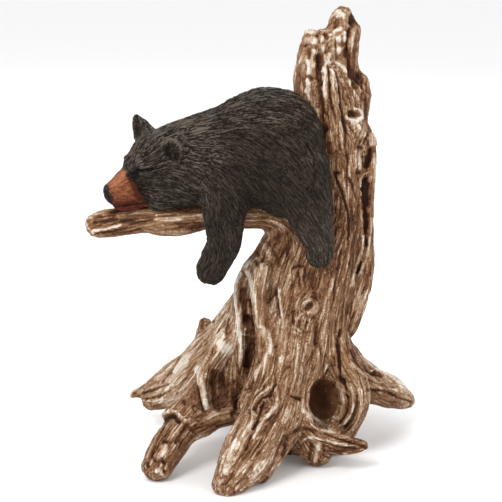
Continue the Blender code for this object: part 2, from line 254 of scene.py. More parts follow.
def direction_map(guides, low, high, sharpness):
    """The grid's corner and its headings; a guide is start, end, start radius and end radius."""
    low = np.array(low) - 2 * GRID_STEP
    counts = np.ceil((np.array(high) + 2 * GRID_STEP - low) / GRID_STEP).astype(int) + 1
    axes = [low[k] + GRID_STEP * np.arange(counts[k]) for k in range(3)]
    spots = np.stack(np.meshgrid(*axes, indexing="ij"), axis=-1).reshape(-1, 3).astype(np.float32)
    reach = np.empty((len(guides), len(spots)), np.float32)
    for row, (start, end, thick, thin) in enumerate(guides):
        start, run = np.array(start, np.float32), np.array(end, np.float32) - np.array(start, np.float32)
        share = np.clip((spots - start) @ run / (run @ run), 0, 1)
        away = spots - start - share[:, None] * run
        reach[row] = (away**2).sum(axis=1) / (thick + share * (thin - thick)) ** 2
    weight = np.exp(-sharpness * (reach - reach.min(axis=0)))
    runs = unit(np.array([np.array(end, float) - np.array(start, float) for start, end, *_ in guides]))
    headings = unit(weight.T @ runs.astype(np.float32))
    return low, headings.reshape(*counts, 3)


def heading_at(chart, points):
    """The direction at each point, blended from the eight corners round it."""
    low, grid = chart
    spot = np.clip((points - low) / GRID_STEP, 0, np.array(grid.shape[:3]) - 1.001)
    cell = spot.astype(int)
    part = spot - cell
    total = np.zeros_like(points)
    for corner in itertools.product((0, 1), repeat=3):
        weight = np.prod(np.where(corner, part, 1 - part), axis=1)
        total += weight[:, None] * grid[tuple((cell + corner).T)]
    return unit(total)


def evened(values):
    """The values moved and scaled to lie about 0 with a spread of 1."""
    return (values - values.mean()) / values.std()


def combed(points, chart, pitch, reach, stride, seed, bend):
    """Noise of one pitch, drawn out along the map for a reach to both sides."""
    total = speckle(points / pitch, seed)
    for way in (-1, 1):
        place = points.copy()
        for step in range(int(reach / stride)):
            place = place + way * stride * bend(place, heading_at(chart, place))
            total += speckle(place / pitch, seed)
    return evened(total)


upright = direction_map([((0, 0, 0), (0, 0, 30), 5, 5)], (-5, -5, 0), (5, 5, 30), 3.0)
print("beside one upright guide the heading is", heading_at(upright, np.array([[3.0, 0.0, 15.0]])).round(2))

# %% [markdown]
# Carving moves the points of the net in or out along the surface, as a sculpting brush does. The
# brush would have to be led over every root by hand, while here a number for each point says how
# far it goes. Where the net is pinched this can leave a few needles. One helper sands down what
# sticks out from its neighbours, and one trims a sliver at a known place.

# %% Tools for the net
SAND_TURNS = 8
TRIM_TURNS = 6


def points_and_normals(mesh):
    """The places of a net's points in millimetres, and which way the surface faces there."""
    co = np.empty(len(mesh.vertices) * 3)
    mesh.vertices.foreach_get("co", co)
    normal = np.empty(len(mesh.vertices) * 3)
    mesh.vertex_normals.foreach_get("vector", normal)
    return co.reshape(-1, 3) / MM, normal.reshape(-1, 3)


def move_points(mesh, co):
    """Puts the net's points at new places, given in millimetres."""
    mesh.vertices.foreach_set("co", (co * MM).ravel())
    mesh.update()


def eased(form, verts):
    bmesh.ops.smooth_vert(form, verts=verts, factor=0.5, use_axis_x=True, use_axis_y=True, use_axis_z=True)


def sanded(mesh, sharpest):
    """Takes back the few points that stick out from their neighbours by more than sharpest, in mm."""
    form = bmesh.new()
    form.from_mesh(mesh)
    total = 0
    for turn in range(SAND_TURNS):
        proud = []
        for vert in form.verts:
            around = [edge.other_vert(vert).co for edge in vert.link_edges]
            if (sum(around, Vector()) / len(around) - vert.co).length > sharpest * MM:
                proud.append(vert)
        eased(form, proud)
        total = max(total, len(proud))
    form.to_mesh(mesh)
    form.free()
    print(total, "points sanded")


def trimmed(mesh, place, reach, limit):
    """Cuts down a sliver that stands more than limit above the middle of its surroundings, in mm."""
    form = bmesh.new()
    form.from_mesh(mesh)
    near = [vert for vert in form.verts if (vert.co / MM - Vector(place)).length < reach]
    middle = sum((vert.co for vert in near), Vector()) / len(near)
    out = sum((vert.normal for vert in near), Vector()).normalized()
    high = [vert for vert in near if (vert.co - middle).dot(out) > limit * MM]
    for vert in high:
        vert.co -= out * ((vert.co - middle).dot(out) - limit * MM)
    for turn in range(TRIM_TURNS):
        eased(form, high)
    form.to_mesh(mesh)
    form.free()
    print(len(high), "points of a sliver trimmed")


def keep_values(mesh, name, values):
    """Stores one number a point, which the material reads by name."""
    layer = mesh.attributes.new(name, "FLOAT", "POINT")
    layer.data.foreach_set("value", values.astype(np.float32))


def keep_directions(mesh, name, vectors):
    """Stores one arrow a point, in metres."""
    layer = mesh.attributes.new(name, "FLOAT_VECTOR", "POINT")
    layer.data.foreach_set("vector", vectors.astype(np.float32).ravel())


def ramp(values, low, high):
    """0 below low, 1 above high, smooth in between."""
    share = np.clip((values - low) / (high - low), 0, 1)
    return share * share * (3 - 2 * share)


def distance(points, place):
    return np.linalg.norm(points - np.array(place, float), axis=1)


def fading(points, place, reach):
    """1 at a place, falling off over a reach."""
    return np.exp(-((distance(points, place) / reach) ** 2))


print("a ramp from 0 to 1 passes", ramp(np.array([0.25, 0.5, 0.75]), 0, 1).round(2))

# %% [markdown]
# ## The grain of the stump
#
# Driftwood shows its grain because water has taken the soft wood out between the hard lines. The
# lines run down the trunk, out along each root and the branch, and they part round a knot like
# water round a stone. These are the guide lines, each a run of stations with a radius.

# %% Guide lines of the grain
GRAIN_LINES = (
    ((19, 4, 225, 12), (20, 4, 199, 16), (21, 4, 172, 18), (22, 4, 138, 19), (10, 2, 104, 25), (3, 3, 69, 27),
     (1, 8, 27, 26), (2, 10, -6, 26)),
    ((11, 0, 238, 6.5), (8, 0, 225, 8.3), (7, 0, 211, 9.3), (8, 1, 197, 9.5), (14, 2, 172, 11)),
    ((25, 6, 250, 7), (25, 6, 236, 10), (25, 6, 199, 10), (24, 6, 177, 12)),
    ((17, -9, 218, 6), (17, -9, 211, 7.5), (19, -9, 196, 9), (21, -7, 174, 11)),
    ((34, 8, 209, 6), (32, 8, 188, 8), (30, 8, 165, 10)),
    ((38, 0, 189, 4), (40, 0, 176, 5), (39, 0, 150, 5), (39, 0, 102, 5.5), (34, 0, 82, 5.5), (30, 0, 70, 6)),
    ((-108, -11, 133, 8), (-82, -10, 136, 8), (-60, -8, 135, 8.5), (-33, -7, 138, 8), (-10, -4, 138, 10),
     (6, -4, 128, 12), (12, -4, 108, 12)),
    ((-2, -4, 134, 9), (-14, -5, 116, 9), (-24, -6, 100, 8.5), (-27, -8, 78, 8.5), (-27, -8, 43, 8.5)),
    ((-20, 2, 99, 8), (-38, 6, 71, 7.6), (-62, 22, 43.5, 6), (-94, 38, 17, 4)),
    ((-24, -3, 88, 9), (-44, 3, 54, 8.5), (-70, 18, 25, 7.5), (-86, 30, 15, 6)),
    ((-32, -7, 74, 6), (-41, -9, 60, 6.5), (-51, -11, 43, 7), (-59, -13, 32, 7), (-66, -17, 26, 6)),
    ((-37, -12, 73, 4.5), (-50, -20, 52, 4), (-51, -23, 43, 3.6), (-49, -25, 32, 3.4)),
    ((-52, 20, 72, 5), (-54, 22, 51, 5)),
    ((-52, -18, 32, 9), (-64.5, -35, 21, 9.5), (-71.3, -43, 13.8, 10), (-76, -48, 5, 9)),
    ((-20, -16, 30, 8), (-44, -24, 25, 6), (-58, -33, 24, 7)),
    ((-4, 0, 66, 14), (-7, -16, 52, 14), (-16.6, -40, 29, 15), (-32, -61, 10, 12), (-40, -70, 0, 10)),
    ((-1, -10, 50, 12), (-5, -24, 38, 12), (-15, -46, 17, 11), (-22, -56, 5, 9)),
    ((-6, -24, 38, 10), (4, -29, 30, 8), (15, -33, 21, 7), (25, -35, 14.5, 6), (42, -36, 14.6, 4)),
    ((1, -24, 24, 8), (10, -28, 12, 9), (12, -30, 2, 9)),
    ((14, 0, 84, 9), (22, -8, 66, 10), (30, -14, 50, 9.5), (34, -15, 38, 9), (31, -13, 24, 9),
     (20, -12, 10, 11)),
    ((22, 4, 70, 9), (28, 9, 52, 9), (41, 18, 33, 11), (55, 27, 23.5, 10), (74, 42, 10, 5)),
    ((-16, -12, 118, 6), (-21, -18, 97, 5), (-20, -19, 80, 5), (-18, -20, 64, 5.5), (-27, -30, 36, 5.5)),
    ((-2, 14, 60, 15), (-12, 28, 36, 13), (-22, 44, 18, 10), (-32, 60, 0, 8)),
    ((8, 12, 70, 14), (16, 26, 40, 13), (22, 44, 18, 10), (27, 64, 0, 8)),
)
GRAIN_SHARPNESS = 3.0  # how soon the nearest guide wins
KNOTS = (  # middle, radius, and how far its rings spread, as radii
    ((7.5, -25, 90.4), 5.0, 2.2),
    ((30.4, -11.6, 187), 5.5, 2.2),
    ((-18, -47, 42), 5.5, 2.0),
    ((18, -22, 33), 13.5, 1.7),
)


def chained(lines):
    """Turns runs of stations into single guides."""
    guides = []
    for line in lines:
        for (*start, thick), (*end, thin) in zip(line[:-1], line[1:]):
            guides.append((start, end, thick, thin))
    return guides


def round_the_knots(place, heading):
    """Bends the grain so that it parts before each knot and rings its heart."""
    for centre, radius, spread in KNOTS:
        away = place - np.array(centre)
        away[:, 1] *= 0.5
        far = np.maximum(np.linalg.norm(away, axis=1, keepdims=True), 0.2)
        out = away / far
        pull = np.clip(radius**2 / far**2, 0, 1) * np.clip(1.5 - far / (radius * spread), 0, 1)
        heading = unit(heading * (1 + pull) - 2 * pull * (heading * out).sum(axis=1, keepdims=True) * out)
    return heading


co, normal = points_and_normals(wood.data)
stump = np.array(STUMP_PLACE) / MM
co -= stump
grain_map = direction_map(chained(GRAIN_LINES), co.min(axis=0), co.max(axis=0), GRAIN_SHARPNESS)
print("grain map:", grain_map[1].shape[:3], "cubes from", len(chained(GRAIN_LINES)), "guides")

# %% [markdown]
# ## The front drawing
#
# A carver pencils the work on the front of the block. Here too there is a front drawing, in dots
# of a picture 502 dots wide, and a point of the net counts as in front if nothing hides it from
# there. The finest work goes only onto those points, where the net is fine enough to hold it.

# %% The front drawing
DOTS = 502
FOCAL_DOTS = LENS / SENSOR * DOTS
POINT_RAY_START = 1.5 * MM
TURNED_AWAY = -0.05  # past this a point of the net doesn't count as in front


def front_drawing(points):
    """Where points in metres fall on the front drawing, in dots right of and below its corner."""
    view = np.array(camera.matrix_basis.inverted())
    eye = points @ view[:3, :3].T + view[:3, 3]
    return DOTS / 2 + FOCAL_DOTS * np.stack([eye[:, 0], -eye[:, 1]], axis=1) / -eye[:, 2:]


def seen_in_front(mesh):
    """1 for each point that nothing hides from the front, else 0."""
    form = bmesh.new()
    form.from_mesh(mesh)
    tree = BVHTree.FromBMesh(form)
    seen = np.zeros(len(form.verts))
    for vert in form.verts:
        ray = (camera.location - vert.co).normalized()
        if vert.normal.dot(ray) < TURNED_AWAY:
            continue
        if tree.ray_cast(vert.co + ray * POINT_RAY_START, ray)[0] is None:
            seen[vert.index] = 1
    form.free()
    return seen


def away_from(places, stations):
    """The distance of each place to a run of stations, on the drawing or in the round."""
    best = np.full(len(places), 1e9)
    stations = [np.array(station, float) for station in stations]
    for start, end in zip(stations[:-1], stations[1:]):
        run = end - start
        share = np.clip((places - start) @ run / (run @ run), 0, 1)
        best = np.minimum(best, np.linalg.norm(places - start - share[:, None] * run, axis=1))
    return best


def pencilled(marks, points, places, seen):
    """How much paler and how much higher each point gets from a list of marks on the drawing."""
    paler = np.zeros(len(points))
    raised = np.zeros(len(points))
    for height, half_width, change, stations in marks:
        margin = 2 * half_width + 1
        low, high = np.min(stations, axis=0) - margin, np.max(stations, axis=0) + margin
        near = np.nonzero((seen > 0) & (places > low).all(axis=1) & (places < high).all(axis=1))[0]
        wobble = 0.5 * speckle(points[near] / 2.2, 55)
        share = 1 - ramp(away_from(places[near], stations) / half_width + wobble, 0.45, 1.35)
        raised[near] = np.where(np.abs(height * share) > np.abs(raised[near]), height * share, raised[near])
        paler[near] += change * share
    return paler, raised


drawn = front_drawing((co + stump) * MM)
seen = seen_in_front(wood.data)
print("points seen from the front:", int(seen.sum()), "of", len(seen))

# %% [markdown]
# ## Carving the grain
#
# Where combed noise passes through zero it leaves long, unbroken lines, and those are the seams
# between two strands of hard wood. So the carving is the noise's distance from zero, to a power
# under one: broad rounded strands with narrow furrows. Three passes go from wide strands to the
# fine lines a riffler leaves.

# %% Carve the stump
STRANDS = (  # pitch, reach, stride, power and depth of each pass, in millimetres
    (4.6, 34, 2.4, 0.8, 0.5),
    (2.3, 18, 1.2, 0.7, 0.5),
    (1.3, 9, 0.65, 0.8, 0.34),
)
CREST = 1.2  # how far from a seam a strand is at its full height, in spreads of the noise
BROKEN_TOPS = (((12, -4, 226), 17, 1.0), ((26, -4, 236), 14, 0.8))  # place, reach and how crumpled
CRUMPLE_DEPTH = 1.1
CALM = (  # place, reach, and how much of the relief is worn away there
    ((-22, -14, 96), 14, 0.35), ((-66, 20, 34), 24, 0.45), ((60, 24, 22), 13, 0.5),
    ((18, -16, 33), 14, 0.8), ((-40, -26, 22), 12, 0.7), ((-12, -20, 78), 9, 0.5),
    ((-30, -42, 26), 8, 0.4), ((-80, -12, 134), 30, 0.5),
)

wander = np.stack([speckle(co / 14 + 31 * k, 40 + k) for k in range(3)], axis=1)
passes = []
seam_noise = []
relief = np.zeros(len(co))
for number, (pitch, reach, stride, power, depth) in enumerate(STRANDS):
    lines = combed(co + 1.2 * wander, grain_map, pitch, reach, stride, 11 + number, round_the_knots)
    if number == 2:  # too fine for the net behind, where it is kept away from its seams
        lines = np.where(seen > 0, lines, np.sign(lines) * np.maximum(np.abs(lines), CREST))
    seam_noise.append(lines)
    crest = np.minimum(np.abs(lines) / CREST, 1.3) ** power
    passes.append(evened(crest))
    relief += depth * (crest - 0.8)
    print("pass", number + 1, "strands of about", round(pitch * CREST, 1), "mm")
worn = np.ones(len(co))
for place, reach, share in CALM:
    worn -= share * fading(co, place, reach)
relief *= np.clip(worn, 0.1, 1)
rough = sum(share * fading(co, place, reach) for place, reach, share in BROKEN_TOPS)
crumple = speckle(co / 3.2, 51) + 0.6 * speckle(co / 1.8, 52)
relief += rough * CRUMPLE_DEPTH * crumple
print("relief from", relief.min().round(2), "to", relief.max().round(2), "mm")

# %% [markdown]
# ## The marks that are there once
#
# Grain is the same everywhere, but a piece of driftwood is known by what is there once: a split
# along the edge, a ringed knot, a hollow in a snag, a ridge that catches the light. Each mark is a
# line on the front drawing, with the height that it is raised or cut, half its width in dots, and
# how much paler or darker it is: the painter's colour, with painted shade in hollows and under
# overhangs and a painted highlight on ridges. A picture of the marks could be projected from the
# front instead, but lines stay sharp and can be moved one by one. Nothing behind is touched.
#
# The snags come first, with their hollows, splits and ringed knot, and the split that runs down
# the right edge.

# %% Marks on the snags
SNAG_MARKS = (  # raised in mm, half width in dots, paler, and the stations
    # the two high snags
    (-0.9, 3.2, -0.16, ((303, 66), (302, 78))), (-0.8, 1.3, -0.5, ((309, 50), (309, 58))),
    (-1.3, 2.0, -0.6, ((309, 77), (311, 79))), (0.4, 1.4, 0.26, ((308, 61), (309, 74), (306, 92))),
    (0.4, 1.3, 0.22, ((296, 66), (294, 84))), (0.3, 1.2, 0.2, ((306, 89), (313, 106))),
    (-2.0, 2.6, -0.5, ((321, 52), (319, 62), (318, 74), (320, 96), (321, 116), (324, 132))),
    (-0.8, 1.2, -0.5, ((317, 34), (319, 42))), (-0.9, 2.0, -0.4, ((325, 34), (328, 38))),
    (0.5, 2.2, 0.26, ((313, 44), (323, 47))), (0.5, 1.8, 0.26, ((306, 32), (316, 33))),
    (-0.7, 1.4, -0.4, ((304, 46), (309, 44))), (0.4, 1.6, 0.25, ((331, 34), (334, 32))),
    (-1.6, 4.2, -0.42, ((334, 24), (338, 23))), (0.3, 4.0, 0.32, ((334, 13), (341, 14))),
    (-0.5, 1.2, -0.4, ((341, 19), (342, 20))), (0.3, 1.6, 0.22, ((330, 22), (332, 30), (340, 30))),
    (-2.4, 3.4, -0.55, ((354, 15), (353, 23))), (-2.2, 1.8, -0.55, ((351, 28), (348, 38), (347, 50))),
    (-1.8, 2.2, -0.45, ((347, 50), (349, 62), (350, 75))),
    (0.4, 1.4, 0.2, ((356, 25), (353, 38), (352, 52))), (-0.7, 1.1, -0.45, ((335, 40), (336, 60))),
    (-0.7, 1.1, -0.4, ((342, 36), (345, 58))),
    # the front snag
    (0.9, 1.8, 0.3, ((322, 72), (326, 64), (333, 61), (341, 65), (346, 72))),
    (-1.1, 1.1, -0.85, ((328, 66), (329, 80), (330, 97), (332, 109))),
    (-1.1, 1.1, -0.85, ((335, 68), (338, 82), (340, 95), (341, 107), (344, 120), (346, 131))),
    (0.3, 1.5, 0.3, ((325, 70), (325, 88), (326, 100))), (0.3, 1.3, 0.26, ((332, 70), (334, 92))),
    (-0.6, 1.6, -0.5, ((321, 82), (322, 85))), (0.4, 1.2, 0.25, ((349, 80), (354, 92), (358, 99))),
    (-0.6, 1.5, -0.4, ((345, 88), (346, 90))), (-0.6, 1.3, -0.35, ((344, 98), (346, 104))),
    # the right snag
    (-2.6, 5.0, -0.5, ((354, 73), (359, 79))), (-1.4, 3.0, -0.45, ((354, 84), (356, 87))),
    (0.5, 1.5, 0.12, ((364, 76), (369, 84))), (0.5, 1.2, 0.16, ((357, 90), (364, 91), (368, 96))),
    (-0.8, 1.8, -0.42, ((366, 100), (367, 118))), (-0.5, 1.1, -0.25, ((362, 94), (361, 106))),
    # the ringed knot
    (-1.9, 3.6, -0.6, ((351, 114), (354, 114))),
    (0.9, 1.5, 0.4, ((355, 109), (361, 112), (362, 118), (357, 121), (350, 120), (346, 117))),
    (0.5, 1.6, 0.32, ((356, 122), (361, 129), (366, 137))),
    (-0.8, 2.0, -0.32, ((349, 123), (353, 130), (357, 138))),
    # the split along the right edge
    (-2.6, 3.0, -0.75, ((370, 151), (368, 158), (367, 166))),
    (-3.0, 3.8, -0.8, ((366, 180), (366, 196), (366, 206))),
    (-2.8, 2.6, -0.8, ((366, 206), (367, 220), (366, 232))), (-2.0, 1.5, -0.7, ((366, 232), (366, 246))),
    (0.7, 1.3, 0.2, ((364, 174), (371, 171))), (0.9, 3.6, 0.35, ((372, 136), (374, 143))),
    (0.6, 1.7, 0.3, ((368, 138), (363, 147), (360, 156), (359, 168))),
    (0.5, 1.2, 0.25, ((361, 178), (361, 196), (360, 208), (362, 222), (363, 236))),
    (0.5, 1.3, 0.34, ((363, 236), (362, 250), (358, 264), (354, 275), (352, 286))),
    (0.5, 1.4, 0.3, ((375, 154), (375, 176), (375, 196), (373, 216), (370, 236), (368, 248))),
    (0.4, 1.4, 0.3, ((368, 248), (366, 260), (361, 272))), (-0.7, 1.2, -0.6, ((367, 134), (364, 144))),
    (-0.8, 1.7, -0.5, ((360, 148), (362, 147))), (-1.0, 1.8, -0.6, ((358, 172), (359, 173))),
    (-0.8, 1.2, -0.6, ((361, 262), (357, 272))),
)
print(len(SNAG_MARKS), "marks on the snags and the right edge")

# %% [markdown]
# The trunk is quieter, with long thin splits, one knot in the middle, and on its left the shoulder
# under the branch, which has a deep groove behind a pale lip.

# %% Marks on the trunk
TRUNK_MARKS = (
    # the face of the trunk
    (-0.8, 1.0, -0.75, ((334, 172), (337, 181), (341, 190), (345, 202), (348, 213), (349, 226),
     (348, 240))), (-1.1, 1.9, -0.6, ((337, 173), (339, 173))),
    (-0.5, 1.1, -0.4, ((350, 178), (353, 188), (356, 198))),
    (-0.6, 1.9, -0.26, ((350, 200), (353, 220), (355, 236), (352, 252), (350, 266))),
    (-0.7, 1.1, -0.5, ((343, 120), (346, 131), (345, 146), (348, 160), (347, 175), (350, 182))),
    (0.3, 1.2, 0.24, ((337, 126), (337, 150))), (0.3, 1.2, 0.22, ((341, 124), (342, 152))),
    (0.4, 1.4, 0.24, ((351, 156), (349, 176))), (0.0, 3.4, -0.3, ((329, 144), (330, 156))),
    (0.0, 3.2, -0.3, ((329, 176), (331, 188))), (0.3, 1.5, 0.24, ((356, 150), (355, 168))),
    (-0.4, 1.1, -0.35, ((341, 250), (336, 278), (334, 300))),
    (-0.4, 1.0, -0.35, ((350, 262), (344, 290), (342, 322))),
    # the left shoulder and its groove
    (0.7, 1.6, 0.34, ((241, 272), (237, 282), (235, 296), (237, 312), (239, 330), (241, 350))),
    (-1.4, 3.4, -0.12, ((242, 277), (243, 290))),
    (-2.0, 3.2, -0.36, ((243, 290), (244, 306), (246, 318))),
    (-2.6, 4.0, -0.5, ((248, 318), (250, 332), (250, 350), (249, 366))),
    (0.8, 1.0, 0.35, ((243, 305), (245, 322))), (0.8, 1.1, 0.3, ((243, 334), (252, 338))),
    (-0.9, 1.2, -0.5, ((249, 300), (252, 318), (254, 332))), (-0.6, 1.1, -0.5, ((243, 272), (246, 276))),
    (0.6, 2.4, 0.26, ((247, 271), (252, 284), (254, 298), (257, 312), (259, 326))),
    (0.5, 4.2, 0.24, ((263, 330), (268, 342), (270, 350))), (0.4, 3.0, 0.22, ((240, 266), (250, 262))),
    (-0.5, 1.6, -0.35, ((255, 261), (258, 266))), (-0.4, 1.3, -0.3, ((257, 252), (263, 262))),
    (0.4, 1.2, 0.34, ((278, 287), (280, 300), (282, 316))),
    (-0.5, 1.1, -0.3, ((275, 290), (278, 306), (280, 318))), (0.3, 2.0, 0.18, ((263, 244), (270, 258))),
    (-0.4, 1.2, -0.28, ((268, 242), (276, 256), (280, 266))),
    (-0.7, 1.3, -0.5, ((292, 269), (298, 266), (304, 267), (305, 273))),
    (-0.6, 1.3, -0.4, ((298, 274), (300, 290))), (-0.5, 1.2, -0.35, ((303, 276), (305, 288))),
    (0.0, 4.5, -0.28, ((313, 272), (314, 298))), (-0.5, 2.0, -0.24, ((315, 320), (315, 344))),
    (-0.7, 1.6, -0.4, ((293, 312), (293, 324))),
    # the knot in the middle
    (-1.7, 4.2, -0.62, ((307, 309), (311, 306))),
    (1.0, 1.3, 0.34, ((314, 301), (310, 300), (305, 303), (302, 309))),
    (0.9, 1.2, 0.2, ((317, 303), (317, 310), (312, 316))),
    (0.8, 1.2, 0.3, ((301, 314), (297, 320), (295, 328), (300, 331))),
    (0.8, 1.2, 0.3, ((305, 320), (303, 329))), (0.7, 1.1, 0.3, ((310, 319), (307, 330))),
    (-0.8, 1.2, -0.4, ((299, 321), (299, 327))), (-0.6, 1.0, -0.4, ((307, 322), (305, 328))),
    # the long split down to the den
    (-1.6, 1.7, -0.7, ((340, 330), (338, 346), (339, 362), (340, 378))),
    (-1.8, 2.6, -0.85, ((341, 381), (344, 383))), (-0.8, 1.2, -0.5, ((334, 356), (334, 366))),
    (-0.6, 1.2, -0.4, ((327, 370), (322, 382))),
)
print(len(TRUNK_MARKS), "marks on the trunk")

# %% [markdown]
# At the foot the lines follow each root to its end. Rings run round the den, and the front root
# carries a knot like a lens.

# %% Marks on the roots
ROOT_MARKS = (
    # the den, its rim and the rings on its right
    (0.6, 1.5, 0.2, ((337, 384), (342, 392), (343, 402), (341, 413), (333, 421))),
    (-0.8, 1.1, -0.45, ((345, 386), (348, 400), (346, 413), (340, 423))),
    (0.6, 1.5, 0.24, ((351, 386), (355, 400), (352, 413), (345, 424))),
    (-0.9, 1.8, -0.4, ((356, 396), (356, 408), (351, 420), (345, 428))),
    (0.6, 1.2, 0.26, ((361, 390), (362, 406), (358, 419), (352, 430))),
    (-0.8, 1.4, -0.5, ((346, 395), (348, 397))), (-0.7, 1.3, -0.4, ((339, 403), (341, 404))),
    (0.5, 1.3, 0.15, ((309, 394), (307, 404), (310, 413), (318, 421))),
    # the right root
    (0.3, 4.0, 0.24, ((362, 358), (378, 367), (396, 378), (408, 391))),
    (-0.9, 1.4, -0.55, ((351, 350), (355, 361), (362, 369), (372, 374), (382, 376))),
    (-1.2, 2.2, -0.5, ((374, 373), (376, 373))), (0.7, 1.0, 0.3, ((371, 371), (375, 369), (379, 371))),
    (0.4, 1.6, 0.2, ((352, 364), (362, 376), (376, 383), (396, 390))),
    (-0.6, 1.2, -0.35, ((356, 371), (366, 379), (381, 385), (394, 388))),
    (-0.9, 1.3, -0.5, ((368, 390), (385, 391), (399, 398), (411, 402))),
    (0.0, 5.0, -0.14, ((374, 396), (396, 402))), (-0.7, 1.3, -0.3, ((352, 334), (353, 348), (358, 360))),
    (-0.5, 1.2, -0.3, ((347, 336), (348, 352))),
    # the lens knot on the front root
    (0.9, 1.6, 0.3, ((270, 388), (262, 393), (256, 400), (253, 409), (252, 420), (250, 430))),
    (0.9, 1.7, 0.3, ((276, 386), (277, 396), (276, 406), (271, 412), (264, 420), (258, 430), (253, 438))),
    (-0.9, 1.2, -0.6, ((268, 395), (262, 398), (257, 403), (254, 410))),
    (-1.3, 1.3, -0.8, ((264, 400), (261, 410), (257, 420), (253, 429))),
    (-1.0, 1.5, -0.6, ((276, 384), (272, 390), (270, 395))), (-0.4, 2.6, -0.12, ((269, 401), (266, 410))),
    (-0.7, 2.4, -0.3, ((275, 416), (268, 425), (262, 433))),
    # the front root
    (0.4, 2.4, 0.26, ((272, 345), (263, 362), (256, 377))),
    (-0.5, 2.2, -0.2, ((273, 358), (266, 374), (259, 388))),
    (0.4, 1.2, 0.28, ((268, 377), (262, 385), (255, 393))), (-0.7, 1.2, -0.6, ((251, 436), (246, 450))),
    (-0.6, 1.1, -0.45, ((262, 440), (250, 460))), (-0.6, 1.8, -0.3, ((284, 436), (273, 464), (262, 478))),
    (-0.6, 1.6, -0.45, ((268, 478), (258, 486))), (0.2, 4.6, 0.2, ((236, 444), (226, 468))),
    (0.2, 3.0, 0.16, ((262, 462), (250, 484))), (-0.5, 1.1, -0.35, ((268, 440), (255, 462), (238, 484))),
    (-0.5, 1.1, -0.3, ((258, 440), (240, 466), (226, 484))), (-0.9, 1.5, -0.6, ((292, 396), (300, 399))),
    (-0.7, 1.3, -0.4, ((280, 388), (281, 398))),
    (0.4, 2.6, 0.16, ((300, 404), (306, 414), (316, 421), (330, 428))),
    (0.3, 3.5, 0.14, ((292, 408), (286, 420))),
    # the short roots in front of the den
    (-0.9, 2.4, -0.3, ((284, 444), (290, 434), (301, 429), (314, 431))),
    (-1.0, 2.2, -0.45, ((287, 445), (283, 455))),
    (0.8, 1.3, 0.32, ((301, 442), (308, 437), (317, 438), (330, 442), (346, 445))),
    (0.6, 2.4, 0.36, ((318, 445), (315, 461))), (-0.7, 1.5, -0.35, ((311, 445), (309, 460))),
    (-0.7, 1.3, -0.35, ((323, 446), (324, 458))), (-0.6, 1.1, -0.5, ((320, 441), (336, 446), (356, 449))),
    (-0.6, 1.1, -0.5, ((324, 434), (344, 440), (362, 446))),
    (0.4, 1.2, 0.25, ((322, 430), (344, 436), (364, 443))), (-0.7, 1.3, -0.4, ((324, 451), (342, 453))),
    (-0.5, 1.6, -0.3, ((363, 446), (366, 447))),
)
print(len(ROOT_MARKS), "marks by the den and on the roots")

# %% [markdown]
# The left side is the most broken: a fan of thin wood with a finger in front of a hollow, a collar
# with a torn edge, and the root that comes out of it. The branch has long, straight lines.

